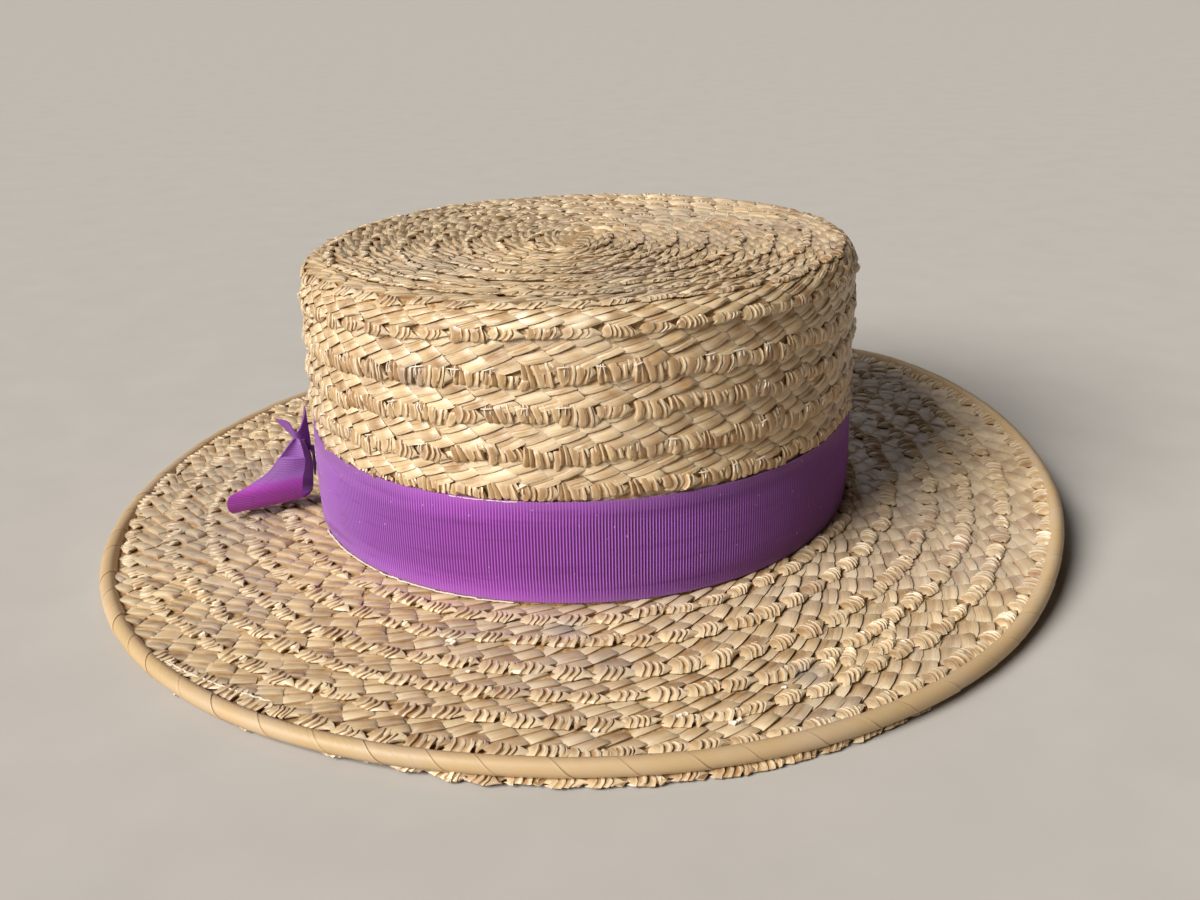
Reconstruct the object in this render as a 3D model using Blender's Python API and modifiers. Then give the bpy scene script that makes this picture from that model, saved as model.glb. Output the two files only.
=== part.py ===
"""Straw boater hat: a stiff oval crown with a flat tip, a wide brim and a ribbon with a bow.

Metres, +Z up. The oval is longer along Y than along X, and the bow stands on the -X side.
The origin is on the floor below the middle of the hat, which rests on the edge of its brim.

Every ring of the hat is a section, a list of (out, height) points. Out is measured from the head
oval, the inside of the crown. The section is turned once round and then opened out to that oval.
"""

import math

import bmesh
import bpy
import numpy as np
from mathutils import Vector

# Head oval, the opening that the head goes into
HEAD_HALF_WIDTH = 0.0835
HEAD_HALF_LENGTH = 0.0944
OVAL_POWER = 2.08
COLUMNS = 64

# Rows of sewn braid: each row's loose outer edge lies over the next row
BRAID_PITCH = 0.0104
ROW_STEP = 0.0010
ROW_OVERHANG = 0.0006
BRAID_THICKNESS = 0.0028
GAP = 0.0003

# Crown
CROWN_FOOT = 0.0113
WALL_TOP = 0.0872
WALL_EDGE_OUT = 0.0030
WALL_EDGE_UNDER_BAND = 0.0024
WALL_EDGE_HEIGHTS = (0.0827, 0.0736, 0.0638, 0.0531, 0.0420, 0.0312, 0.0206)
TIP_TURNS = 8
TIP_FIRST_EDGE = -0.0018
TIP_CENTRE_OUT = -0.0790
LEAN_PER_LENGTH = -0.034
LEAN_PER_WIDTH = 0.0084

# Height of the tip from its centre out to the top of the wall
TIP_PROFILE = (
    # out, height
    (-0.0835, 0.0900),
    (-0.0270, 0.0902),
    (-0.0165, 0.0906),
    (-0.0062, 0.0911),
    (0.0030, 0.0872),
)

# Brim
BRIM_EDGE_OUTS = (0.0072, 0.0186, 0.0310, 0.0411, 0.0532, 0.0625)
BRIM_PROFILE = (
    # out, height
    (0.0000, 0.0110),
    (0.0035, 0.0110),
    (0.0650, 0.0050),
)
BRIM_SHOULDER_OUT = 0.0654
TONGUE_OUT = 0.0686
TONGUE_HALF = 0.0005

# How far the brim's edge is sprung up from the floor, round from +X through the back
BRIM_LIFT = (
    # degrees, lift
    (0.0, 0.0071),
    (45.0, 0.0108),
    (90.0, 0.0012),
    (125.0, 0.0),
    (240.0, 0.0),
    (270.0, 0.0005),
    (300.0, 0.0),
    (325.0, 0.0),
    (360.0, 0.0071),
)

# Bound edge, a folded strip that grips the brim's tongue
BINDING_OUT = 0.0681
BINDING_HEIGHT = 0.0037
BINDING_RADIUS = 0.0024
BINDING_LIP = math.radians(142.0)
BINDING_ARC_POINTS = 8
SLOT_END_OUT = TONGUE_OUT + GAP
SLOT_HALF = TONGUE_HALF + GAP

# Braid sewn flat under the brim's edge
UNDER_BRAID_SECTION = (
    # out, height
    (0.0600, 0.0),
    (0.0694, 0.0),
    (0.0702, 0.0005),
    (0.0694, 0.0010),
    (0.0660, 0.0010),
    (0.0650, 0.0018),
    (0.0606, 0.0021),
)

# Ribbon round the foot of the crown
BAND_BOTTOM = 0.0114
BAND_WIDTH = 0.0286
BAND_OUTER = 0.0035
RIBBON_THICKNESS = 0.0008

# Bow: out from the band, forward along it, and up, from a point at the band's left side
BOW_FOOT = Vector((-0.0799, -0.0408, 0.0))
BOW_OUTWARD = Vector((-0.9354, -0.3535, 0.0))
BOW_FORWARD = Vector((0.3535, -0.9354, 0.0))

# The loop hangs from its pinch, folds under above the brim and returns behind
LOOP_ROWS = (
    # inner out, inner up, outer out, outer up, forward
    (0.0044, 0.0332, 0.0070, 0.0338, -0.0024),
    (0.0037, 0.0285, 0.0110, 0.0292, -0.0004),
    (0.0042, 0.0245, 0.0156, 0.0243, 0.0016),
    (0.0049, 0.0222, 0.0222, 0.0208, 0.0030),
    (0.0054, 0.0186, 0.0283, 0.0176, 0.0028),
    (0.0054, 0.0156, 0.0288, 0.0134, 0.0012),
    (0.0046, 0.0147, 0.0278, 0.0112, -0.0010),
    (0.0032, 0.0149, 0.0284, 0.0128, -0.0034),
    (0.0020, 0.0190, 0.0200, 0.0186, -0.0050),
    (0.0020, 0.0267, 0.0096, 0.0262, -0.0052),
    (0.0034, 0.0322, 0.0062, 0.0328, -0.0042),
)
LOOP_COLUMNS = 4
LOOP_BELLY = 0.0008

# The ribbon's end lies on the band behind the loop, is gathered, and is cut to two points
TAIL_COLUMNS = (
    # foot out, foot forward, pinch out, pinch forward, end out, end forward, end up
    (0.0008, -0.0125, 0.0062, -0.0094, 0.0117, -0.0095, 0.0385),
    (0.0008, -0.0105, 0.0060, -0.0076, 0.0080, -0.0074, 0.0380),
    (0.0009, -0.0085, 0.0050, -0.0056, 0.0056, -0.0050, 0.0350),
    (0.0009, -0.0065, 0.0034, -0.0060, 0.0034, -0.0062, 0.0388),
    (0.0009, -0.0045, 0.0020, -0.0072, 0.0026, -0.0074, 0.0428),
)
TAIL_FOOT_UP = 0.0200
TAIL_BEND_UP = 0.0270
TAIL_PINCH_UP = 0.0315

STRAW = (0.50, 0.34, 0.16, 1.0)
BINDING_STRAW = (0.46, 0.32, 0.14, 1.0)
PURPLE = (0.16, 0.03, 0.22, 1.0)
DARK_PURPLE = (0.09, 0.015, 0.12, 1.0)


def clear_scene():
    """Remove what the scene holds, so that the model starts from nothing."""
    for thing in list(bpy.data.objects):
        bpy.data.objects.remove(thing, do_unlink=True)


def new_material(name, colour, roughness):
    """A plain finish for one sub-part."""
    finish = bpy.data.materials.new(name)
    finish.use_nodes = True
    shader = finish.node_tree.nodes["Principled BSDF"]
    shader.inputs["Base Color"].default_value = colour
    shader.inputs["Roughness"].default_value = roughness
    shader.inputs["Metallic"].default_value = 0.0
    finish.diffuse_color = colour
    return finish


def add_object(name, bm, collection, colour, roughness):
    """Make one named sub-part from a mesh, with its own material and smooth shading."""
    mesh = bpy.data.meshes.new(name)
    bm.to_mesh(mesh)
    bm.free()
    mesh.materials.append(new_material(name + "_finish", colour, roughness))
    mesh.shade_smooth()
    mesh.set_sharp_from_angle(angle=math.radians(40.0))
    thing = bpy.data.objects.new(name, mesh)
    collection.objects.link(thing)
    return thing


def oval_place(angle, out):
    """The point at a turn angle on the head oval moved outward by out."""
    reach = 2.0 / OVAL_POWER
    across = math.copysign(abs(math.cos(angle)) ** reach, math.cos(angle))
    along = math.copysign(abs(math.sin(angle)) ** reach, math.sin(angle))
    return (HEAD_HALF_WIDTH + out) * across, (HEAD_HALF_LENGTH + out) * along


def profile_height(profile, out):
    """The height of a profile table at one distance out."""
    outs, heights = zip(*profile)
    return float(np.interp(out, outs, heights))


def crown_lean(x, y, height):
    """The crown leans back a little: its front is higher than its back, and its foot is level."""
    share = (height - CROWN_FOOT) / (WALL_TOP - CROWN_FOOT)
    return share * (LEAN_PER_LENGTH * y + LEAN_PER_WIDTH * x)


def brim_lift(angle, out):
    """How far the brim is sprung up, smooth from row to row of the table and none at the crown."""
    degrees = math.degrees(angle) % 360.0
    for (start, low), (end, high) in zip(BRIM_LIFT, BRIM_LIFT[1:]):
        if degrees <= end:
            share = (degrees - start) / (end - start)
            edge_lift = low + (high - low) * share * share * (3.0 - 2.0 * share)
            break
    return edge_lift * (max(out, 0.0) / BINDING_OUT) ** 2


def turn_section(section, closed, rise):
    """Turn a section once round, then open it out to the head oval.

    A closed section makes a ring. An open one starts and ends near the middle, where its first
    and last points are capped. rise gives what is added to the height at each place.
    """
    bm = bmesh.new()
    points = [bm.verts.new((1.0 + out, 0.0, height)) for out, height in section]
    pairs = list(zip(points, points[1:]))
    if closed:
        pairs.append((points[-1], points[0]))
    edges = [bm.edges.new(pair) for pair in pairs]
    bmesh.ops.spin(bm, geom=points + edges, cent=(0.0, 0.0, 0.0), axis=(0.0, 0.0, 1.0),
                   angle=2.0 * math.pi, steps=COLUMNS, use_merge=True)
    if not closed:
        bmesh.ops.holes_fill(bm, edges=bm.edges, sides=COLUMNS)
    for vert in bm.verts:
        angle = math.atan2(vert.co.y, vert.co.x)
        out = math.hypot(vert.co.x, vert.co.y) - 1.0
        x, y = oval_place(angle, out)
        vert.co = (x, y, vert.co.z + rise(angle, out, x, y, vert.co.z))
    bmesh.ops.recalc_face_normals(bm, faces=bm.faces)
    return bm


def lean_rise(angle, out, x, y, height):
    """What the crown's lean adds to a height."""
    return crown_lean(x, y, height)


def brim_rise(angle, out, x, y, height):
    """What the brim's spring adds to a height."""
    return brim_lift(angle, out)


def no_rise(angle, out, x, y, height):
    """The band stands level."""
    return 0.0


def crown_section():
    """Outside from the middle of the tip to the foot, then inside from the foot to the tip."""
    section = [(TIP_CENTRE_OUT, profile_height(TIP_PROFILE, TIP_CENTRE_OUT))]
    for turn in reversed(range(TIP_TURNS)):
        out = TIP_FIRST_EDGE - turn * BRAID_PITCH
        section.append((out, profile_height(TIP_PROFILE, out)))
        tucked = out + ROW_OVERHANG
        section.append((tucked, profile_height(TIP_PROFILE, tucked) - ROW_STEP))
    corner_out = WALL_EDGE_OUT - ROW_OVERHANG
    section.append((corner_out, profile_height(TIP_PROFILE, corner_out)))
    for height in WALL_EDGE_HEIGHTS:
        under_band = height < BAND_BOTTOM + BAND_WIDTH
        out = WALL_EDGE_UNDER_BAND if under_band else WALL_EDGE_OUT
        tucked = min(out, WALL_EDGE_UNDER_BAND) - ROW_STEP / 2.0
        section.append((out, height))
        section.append((tucked, height - ROW_OVERHANG))
    section.append((WALL_EDGE_UNDER_BAND, CROWN_FOOT))
    section.append((0.0, CROWN_FOOT))
    section.append((0.0, WALL_TOP - BRAID_THICKNESS))
    for out, height in reversed(TIP_PROFILE[1:-1]):
        section.append((out - ROW_STEP, height - BRAID_THICKNESS))
    middle = TIP_CENTRE_OUT + BRAID_PITCH / 2.0
    section.append((middle, profile_height(TIP_PROFILE, middle) - BRAID_THICKNESS))
    return section


def brim_section():
    """Top from the crown out to the tongue in the binding, then back along the underside."""
    section = [(0.0, profile_height(BRIM_PROFILE, 0.0))]
    section.append((BAND_OUTER, profile_height(BRIM_PROFILE, BAND_OUTER)))
    for out in BRIM_EDGE_OUTS:
        section.append((out, profile_height(BRIM_PROFILE, out)))
        tucked = out + ROW_OVERHANG
        section.append((tucked, profile_height(BRIM_PROFILE, tucked) - ROW_STEP))
    section.append((BRIM_SHOULDER_OUT, BINDING_HEIGHT + TONGUE_HALF))
    section.append((TONGUE_OUT, BINDING_HEIGHT + TONGUE_HALF))
    section.append((TONGUE_OUT, BINDING_HEIGHT - TONGUE_HALF))
    section.append((BRIM_SHOULDER_OUT + GAP, BINDING_HEIGHT - TONGUE_HALF))
    for out in (BRIM_SHOULDER_OUT, BAND_OUTER, 0.0):
        section.append((out, profile_height(BRIM_PROFILE, out) - BRAID_THICKNESS))
    return section


def binding_section():
    """A round strip with a slot on its inner side for the brim's tongue."""
    section = []
    for index in range(BINDING_ARC_POINTS):
        turn = BINDING_LIP * (1.0 - 2.0 * index / (BINDING_ARC_POINTS - 1))
        out = BINDING_OUT + BINDING_RADIUS * math.cos(turn)
        height = BINDING_HEIGHT + BINDING_RADIUS * math.sin(turn)
        section.append((out, height))
    lip_out = section[-1][0]
    section.append((lip_out, BINDING_HEIGHT - SLOT_HALF))
    section.append((SLOT_END_OUT, BINDING_HEIGHT - SLOT_HALF))
    section.append((SLOT_END_OUT, BINDING_HEIGHT + SLOT_HALF))
    section.append((lip_out, BINDING_HEIGHT + SLOT_HALF))
    return section


def band_section():
    """The ribbon's thin upright rectangle, just clear of the braid behind it."""
    inner = BAND_OUTER - RIBBON_THICKNESS
    top = BAND_BOTTOM + BAND_WIDTH
    return [(inner, BAND_BOTTOM), (BAND_OUTER, BAND_BOTTOM), (BAND_OUTER, top), (inner, top)]


def bow_place(out, forward, up):
    """A point of the bow from its distances out from the band, forward along it and up."""
    return BOW_FOOT + BOW_OUTWARD * out + BOW_FORWARD * forward + Vector((0.0, 0.0, up))


def ribbon_sheet(rows):
    """A grid of ribbon whose points are given row by row."""
    across = len(rows[0]) - 1
    along = len(rows) - 1
    bm = bmesh.new()
    bmesh.ops.create_grid(bm, x_segments=across, y_segments=along, size=1.0)
    for vert in bm.verts:
        column = round((vert.co.x + 1.0) / 2.0 * across)
        row = round((vert.co.y + 1.0) / 2.0 * along)
        vert.co = rows[row][column]
    return bm


def thicken_ribbon(thing):
    """Round the folds and give the sheet the ribbon's thickness, half to each side."""
    rounding = thing.modifiers.new("rounding", "SUBSURF")
    rounding.levels = 1
    rounding.render_levels = 1
    rounding.boundary_smooth = "PRESERVE_CORNERS"
    thickness = thing.modifiers.new("thickness", "SOLIDIFY")
    thickness.thickness = RIBBON_THICKNESS
    thickness.offset = 0.0


def make_bow_loop(collection):
    """The hanging loop: narrow at its pinch, as wide as the ribbon at its fold."""
    rows = []
    for inner_out, inner_up, outer_out, outer_up, forward in LOOP_ROWS:
        row = []
        for column in range(LOOP_COLUMNS + 1):
            share = column / LOOP_COLUMNS
            belly = LOOP_BELLY * math.sin(math.pi * share) * math.copysign(1.0, forward)
            out = inner_out + (outer_out - inner_out) * share
            up = inner_up + (outer_up - inner_up) * share
            row.append(bow_place(out, forward + belly, up))
        rows.append(row)
    thing = add_object("bow_loop", ribbon_sheet(rows), collection, PURPLE, 0.7)
    thicken_ribbon(thing)


def make_bow_tails(collection):
    """The ribbon's end: flat on the band at its foot, gathered, then two points with a notch."""
    rows = [[], [], [], [], []]
    for foot_out, foot_forward, pinch_out, pinch_forward, end_out, end_forward, end_up in TAIL_COLUMNS:
        pinch = bow_place(pinch_out, pinch_forward, TAIL_PINCH_UP)
        end = bow_place(end_out, end_forward, end_up)
        rows[0].append(bow_place(foot_out, foot_forward, TAIL_FOOT_UP))
        rows[1].append(bow_place(foot_out, foot_forward, TAIL_BEND_UP))
        rows[2].append(pinch)
        rows[3].append(pinch.lerp(end, 0.5))
        rows[4].append(end)
    thing = add_object("bow_tails", ribbon_sheet(rows), collection, DARK_PURPLE, 0.7)
    thicken_ribbon(thing)


def main():
    """Build the hat, one object for each sub-part."""
    clear_scene()
    hat = bpy.data.collections.new("straw_boater_hat")
    bpy.context.scene.collection.children.link(hat)
    rings = (
        # name, section, closed, rise, colour, roughness
        ("crown", crown_section(), False, lean_rise, STRAW, 0.6),
        ("brim", brim_section(), True, brim_rise, STRAW, 0.6),
        ("brim_binding", binding_section(), True, brim_rise, BINDING_STRAW, 0.5),
        ("under_edge_braid", UNDER_BRAID_SECTION, True, brim_rise, STRAW, 0.6),
        ("hat_band", band_section(), True, no_rise, PURPLE, 0.7),
    )
    for name, section, closed, rise, colour, roughness in rings:
        add_object(name, turn_section(section, closed, rise), hat, colour, roughness)
    make_bow_loop(hat)
    make_bow_tails(hat)


main()
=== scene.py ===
"""Straw boater hat: sewn straw braid, a bound brim and a purple ribbon with its bow.

Metres, +Z up, with the origin on the floor below the middle of the hat. The hat's front faces -Y
and the bow stands at its left, on the -X side.
"""

import math

import bpy
import numpy as np
from bpy.props import FloatProperty, FloatVectorProperty, PointerProperty
from mathutils import Matrix, Vector


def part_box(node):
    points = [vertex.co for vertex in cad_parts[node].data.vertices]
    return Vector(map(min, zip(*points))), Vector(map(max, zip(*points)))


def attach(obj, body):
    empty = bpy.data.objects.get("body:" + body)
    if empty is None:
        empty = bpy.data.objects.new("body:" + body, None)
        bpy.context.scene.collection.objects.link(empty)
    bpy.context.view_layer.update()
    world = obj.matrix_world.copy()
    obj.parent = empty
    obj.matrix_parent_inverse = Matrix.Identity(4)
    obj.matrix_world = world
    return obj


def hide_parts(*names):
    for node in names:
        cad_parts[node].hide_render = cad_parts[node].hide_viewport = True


bl_info = {
    "name": "Straw Boater Hat",
    "version": (1, 0, 0),
    "blender": (4, 5, 0),
    "location": "View3D > Sidebar > Boater",
    "description": "Lays the straws, binding, ribbon and bow of a boater over its solids",
    "category": "Add Mesh",
}

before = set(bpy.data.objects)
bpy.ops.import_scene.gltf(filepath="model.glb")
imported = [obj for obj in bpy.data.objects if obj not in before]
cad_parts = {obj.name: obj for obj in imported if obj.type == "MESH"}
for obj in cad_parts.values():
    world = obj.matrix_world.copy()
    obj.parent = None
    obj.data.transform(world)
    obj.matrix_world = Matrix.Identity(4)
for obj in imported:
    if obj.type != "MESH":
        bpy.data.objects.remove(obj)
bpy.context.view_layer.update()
MM = 0.001

# Head oval and the lean of the crown, as the solids have them
HEAD_HALF_WIDTH = 0.0835
HEAD_HALF_LENGTH = 0.0944
OVAL_POWER = 2.08
OVAL_STEPS = 3601
CROWN_FOOT = 0.0113
WALL_TOP = 0.0872
LEAN_PER_LENGTH = -0.034
LEAN_PER_WIDTH = 0.0084

# Bed of the crown's straws, from the middle of the tip over the shoulder and down the side
CROWN_BED = (
    # out, height
    (-0.0835, 0.0888),
    (-0.0270, 0.0890),
    (-0.0165, 0.0894),
    (-0.0062, 0.0899),
    (-0.0010, 0.0893),
    (0.0012, 0.0872),
    (0.0018, 0.0840),
    (0.0018, 0.0700),
    (0.0018, 0.0100),
)
CROWN_WALL = 0.0015

# Bed of the brim's straws, and how far its edge is sprung up, round from +X through the back
BRIM_BED = (
    # out, height
    (0.0000, 0.0098),
    (0.0035, 0.0098),
    (0.0650, 0.0038),
    (0.0690, 0.0034),
)
BRIM_WALL = 0.0013
BRIM_EDGE_OUT = 0.0681
# From here to here, out from the head oval, the brim's straws lie
BRIM_STRAW_REACH = (0.0015, 0.0662)
BRIM_LIFT = (
    # degrees, lift
    (0.0, 0.0071),
    (45.0, 0.0108),
    (90.0, 0.0012),
    (125.0, 0.0),
    (240.0, 0.0),
    (270.0, 0.0005),
    (300.0, 0.0),
    (325.0, 0.0),
    (360.0, 0.0071),
)

# Rows of the crown's braid at the front, as the line that the middle of their pleats follows
TIP_ROW_OUTS = (-0.0746, -0.0642, -0.0538, -0.0434, -0.0330, -0.0226, -0.0122, -0.0018)
SIDE_ROW_HEIGHTS = (0.0840, 0.0729, 0.0631, 0.0520, 0.0420, 0.0312, 0.0206)
HIDDEN_ROW_HEIGHT = 0.0104
# How far a row has come down towards the next one, clockwise from the front
CROWN_ROW_SHARE = (
    # degrees, share of the way to the next row
    (0.0, 0.0),
    (15.0, 0.085),
    (30.0, 0.18),
    (45.0, 0.33),
    (60.0, 0.47),
    (90.0, 0.70),
    (135.0, 0.85),
    (180.0, 0.92),
    (270.0, 0.97),
    (300.0, 0.97),
    (330.0, 0.885),
    (345.0, 0.91),
)

# Rows of the brim's braid, as the distance out of the middle of their pleats in millimetres
BRIM_ROWS = (
    # degrees clockwise from the front, then each row from the ribbon out
    (0.0, -1.0, 10.5, 20.1, 32.2, 42.2, 52.2, 63.6),
    (30.0, -0.6, 10.1, 21.0, 32.2, 42.2, 52.8, 63.6),
    (45.0, -0.2, 10.6, 22.6, 33.8, 44.5, 55.3, 67.5),
    (60.0, 0.2, 12.6, 24.9, 36.4, 48.5, 61.0, 72.0),
    (75.0, 0.8, 14.0, 26.5, 38.5, 51.2, 63.9, 75.0),
    (90.0, 1.5, 15.0, 27.8, 39.5, 53.0, 66.0, 78.0),
    (180.0, 3.0, 16.2, 29.0, 40.6, 53.0, 65.8, 78.0),
    (270.0, 4.5, 17.2, 30.0, 41.8, 53.0, 65.5, 77.0),
    (300.0, 6.0, 17.0, 29.0, 41.0, 52.2, 64.1, 76.0),
    (315.0, 7.5, 18.8, 31.5, 41.5, 52.6, 64.4, 75.0),
    (330.0, 9.2, 21.2, 34.8, 45.0, 54.6, 65.1, 75.0),
    (345.0, 9.3, 20.6, 33.8, 44.3, 54.5, 65.3, 75.0),
)

# Ribbon, as the solids have it
BAND_BOTTOM = 0.0114
BAND_OUT = 0.0032
BOW_FOOT = np.array((-0.0799, -0.0408, 0.0))
BOW_OUTWARD = np.array((-0.9354, -0.3535, 0.0))
BOW_FORWARD = np.array((0.3535, -0.9354, 0.0))
LOOP_ROWS = (
    # inner out, inner up, outer out, outer up, forward
    (0.0044, 0.0332, 0.0070, 0.0338, -0.0024),
    (0.0037, 0.0285, 0.0110, 0.0292, -0.0004),
    (0.0042, 0.0245, 0.0156, 0.0243, 0.0016),
    (0.0049, 0.0222, 0.0222, 0.0208, 0.0030),
    (0.0054, 0.0186, 0.0283, 0.0176, 0.0028),
    (0.0054, 0.0156, 0.0288, 0.0134, 0.0012),
    (0.0046, 0.0147, 0.0278, 0.0112, -0.0010),
    (0.0032, 0.0149, 0.0284, 0.0128, -0.0034),
    (0.0020, 0.0190, 0.0200, 0.0186, -0.0050),
    (0.0020, 0.0267, 0.0096, 0.0262, -0.0052),
    (0.0034, 0.0322, 0.0062, 0.0328, -0.0042),
)
TAIL_COLUMNS = (
    # foot out, foot forward, pinch out, pinch forward, end out, end forward, end up
    (0.0008, -0.0125, 0.0062, -0.0094, 0.0117, -0.0095, 0.0385),
    (0.0008, -0.0105, 0.0060, -0.0076, 0.0080, -0.0074, 0.0380),
    (0.0009, -0.0085, 0.0050, -0.0056, 0.0056, -0.0050, 0.0350),
    (0.0009, -0.0065, 0.0034, -0.0060, 0.0034, -0.0062, 0.0388),
    (0.0009, -0.0045, 0.0020, -0.0072, 0.0026, -0.0074, 0.0428),
)
# Heights of the tails' foot, bend and pinch, and shares of their length at those and at their end
TAIL_UPS = (0.0200, 0.0270, 0.0315)
TAIL_SHARES = (0.0, 0.36, 0.6, 1.0)

# Camera, where the picture of the hat was taken from
CAMERA_PLACE = (0.07365, -0.40475, 0.1795)
CAMERA_FORWARD = (-0.15651, 0.91729, -0.36618)
CAMERA_ROLL = -0.0206
CAMERA_LENS = 39.0


class BoaterStraw(bpy.types.PropertyGroup):
    """Sizes and colours of the straw braid."""

    straw_length: FloatProperty(
        name="Straw length", description="Length of braid from one crossing to the next on the crown",
        default=0.0096, min=0.006, max=0.016, unit="LENGTH",
    )
    brim_straw_length: FloatProperty(
        name="Brim straw length", description="Length of braid from one crossing to the next on the brim",
        default=0.0092, min=0.006, max=0.016, unit="LENGTH",
    )
    row_rise: FloatProperty(
        name="Row rise", description="How far the pleated edge of a row stands above its other edge",
        default=0.0009, min=0.0, max=0.003, unit="LENGTH",
    )
    pale: FloatVectorProperty(
        name="Pale straw", description="Colour of the palest straws", subtype="COLOR",
        size=4, min=0.0, max=1.0, default=(0.74, 0.56, 0.33, 1.0),
    )
    tan: FloatVectorProperty(
        name="Tan straw", description="Colour of most straws", subtype="COLOR",
        size=4, min=0.0, max=1.0, default=(0.55, 0.375, 0.19, 1.0),
    )
    # Brown also paints the shade in the gaps, creases and hollows, and on the units' sides.
    brown: FloatVectorProperty(
        name="Brown straw", description="Colour of the darkest straws and of the gaps between them",
        subtype="COLOR", size=4, min=0.0, max=1.0, default=(0.33, 0.175, 0.065, 1.0),
    )
    # Cream also paints the highlights at the straws' lit ends and on the folds' crests.
    cream: FloatVectorProperty(
        name="Cream", description="Colour of the thin pale rims and ends", subtype="COLOR",
        size=4, min=0.0, max=1.0, default=(0.86, 0.74, 0.53, 1.0),
    )
    dust: FloatVectorProperty(
        name="Dust", description="Colour of the dust that greys the straw", subtype="COLOR",
        size=4, min=0.0, max=1.0, default=(0.50, 0.44, 0.385, 1.0),
    )
    # This grey also paints shade on the brim's right.
    stain_and_shade_grey: FloatVectorProperty(
        name="Stain", description="Colour of the grey stains on the straw", subtype="COLOR",
        size=4, min=0.0, max=1.0, default=(0.33, 0.30, 0.285, 1.0),
    )
    speck: FloatVectorProperty(
        name="Speck", description="Colour of the pink speck at the right of the brim", subtype="COLOR",
        size=4, min=0.0, max=1.0, default=(0.55, 0.18, 0.36, 1.0),
    )
    thread: FloatVectorProperty(
        name="Thread", description="Colour of the sewing thread", subtype="COLOR",
        size=4, min=0.0, max=1.0, default=(0.86, 0.80, 0.68, 1.0),
    )


class BoaterRibbon(bpy.types.PropertyGroup):
    """Sizes and colours of the ribbon and its bow."""

    width: FloatProperty(
        name="Ribbon width", description="Width of the grosgrain ribbon",
        default=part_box("hat_band")[1].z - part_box("hat_band")[0].z, min=0.01, max=0.06, unit="LENGTH",
    )
    rib: FloatProperty(
        name="Rib", description="Distance from one rib of the grosgrain to the next",
        default=0.000865, min=0.0005, max=0.004, unit="LENGTH",
    )
    violet: FloatVectorProperty(
        name="Violet", description="Colour of the ribbon", subtype="COLOR",
        size=4, min=0.0, max=1.0, default=(0.42, 0.15, 0.67, 1.0),
    )
    # On the band this magenta is painted light at the front, where the ribbon faces the light; on the bow it
    # colours the loop's under fold.
    magenta: FloatVectorProperty(
        name="Magenta", description="Colour of the unfaded ribbon under the bow", subtype="COLOR",
        size=4, min=0.0, max=1.0, default=(0.60, 0.085, 0.70, 1.0),
    )
    # Plum paints the shade between the ribs, in the folds and creases and on the band's right, and darkens
    # the ribbon's threads.
    plum: FloatVectorProperty(
        name="Plum", description="Colour between the ribs and in the folds", subtype="COLOR",
        size=4, min=0.0, max=1.0, default=(0.068, 0.006, 0.074, 1.0),
    )
    # Lilac is worn and dusty ribbon, with painted sheen where the ribbon is dusty.
    lilac: FloatVectorProperty(
        name="Lilac", description="Colour of the faded and dusty ribbon", subtype="COLOR",
        size=4, min=0.0, max=1.0, default=(0.265, 0.15, 0.250, 1.0),
    )
    lint: FloatVectorProperty(
        name="Lint", description="Colour of the specks on the ribbon", subtype="COLOR",
        size=4, min=0.0, max=1.0, default=(0.75, 0.68, 0.66, 1.0),
    )


class BoaterStage(bpy.types.PropertyGroup):
    """Floor and light."""

    floor: FloatVectorProperty(
        name="Floor", description="Colour of the floor", subtype="COLOR",
        size=4, min=0.0, max=1.0, default=(0.54, 0.515, 0.48, 1.0),
    )
    window: FloatProperty(
        name="Window light", description="Strength of the large light at the front left",
        default=5.2, min=0.0,
    )
    room: FloatProperty(
        name="Room light", description="Strength of the even light of the room", default=0.018, min=0.0,
    )


def deselect_everything():
    """Nothing is selected and nothing is in edit mode."""
    if bpy.context.object and bpy.context.object.mode != "OBJECT":
        bpy.ops.object.mode_set(mode="OBJECT")
    bpy.ops.object.select_all(action="DESELECT")


def select_open_edges():
    """Only the edges at an opening of the mesh in hand are selected."""
    bpy.ops.mesh.select_mode(type="EDGE")
    bpy.ops.mesh.select_all(action="DESELECT")
    bpy.ops.mesh.select_non_manifold()


def turn_faces_out():
    """The faces of the piece in hand all point outwards."""
    bpy.ops.object.mode_set(mode="EDIT")
    bpy.ops.mesh.select_all(action="SELECT")
    bpy.ops.mesh.normals_make_consistent(inside=False)
    bpy.ops.object.mode_set(mode="OBJECT")


def read_points(piece):
    """The points of a piece as an array."""
    points = np.empty(len(piece.data.vertices) * 3)
    piece.data.vertices.foreach_get("co", points)
    return points.reshape(-1, 3)


def write_points(piece, points):
    """The points of a piece, from an array."""
    piece.data.vertices.foreach_set("co", points.ravel())
    piece.data.update()


def add_attribute(mesh, name, values):
    """Three numbers at each point of a mesh, which its material reads."""
    attribute = mesh.attributes.new(name, "FLOAT_VECTOR", "POINT")
    attribute.data.foreach_set("vector", values.astype(np.float32).ravel())


def finish_piece(piece, node, material):
    """The piece rides with the hat, stands for its solid and takes its material."""
    piece.data.materials.clear()
    piece.data.materials.append(material)
    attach(piece, "root")
    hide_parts(node)


def summed(steps):
    """How far along a path each of its points lies, from the steps between them."""
    return np.concatenate([[0], np.cumsum(steps)])


def bell(values, middle, reach):
    """One at the middle, and fading away over the reach."""
    return np.exp(-(((values - middle) / reach) ** 2))


# The hat's surfaces


def oval_place(angle, out):
    """Place on the oval that lies out beyond the head oval."""
    reach = 2 / OVAL_POWER
    cosine, sine = np.cos(angle), np.sin(angle)
    x = (HEAD_HALF_WIDTH + out) * np.sign(cosine) * np.abs(cosine) ** reach
    y = (HEAD_HALF_LENGTH + out) * np.sign(sine) * np.abs(sine) ** reach
    return x, y


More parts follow.
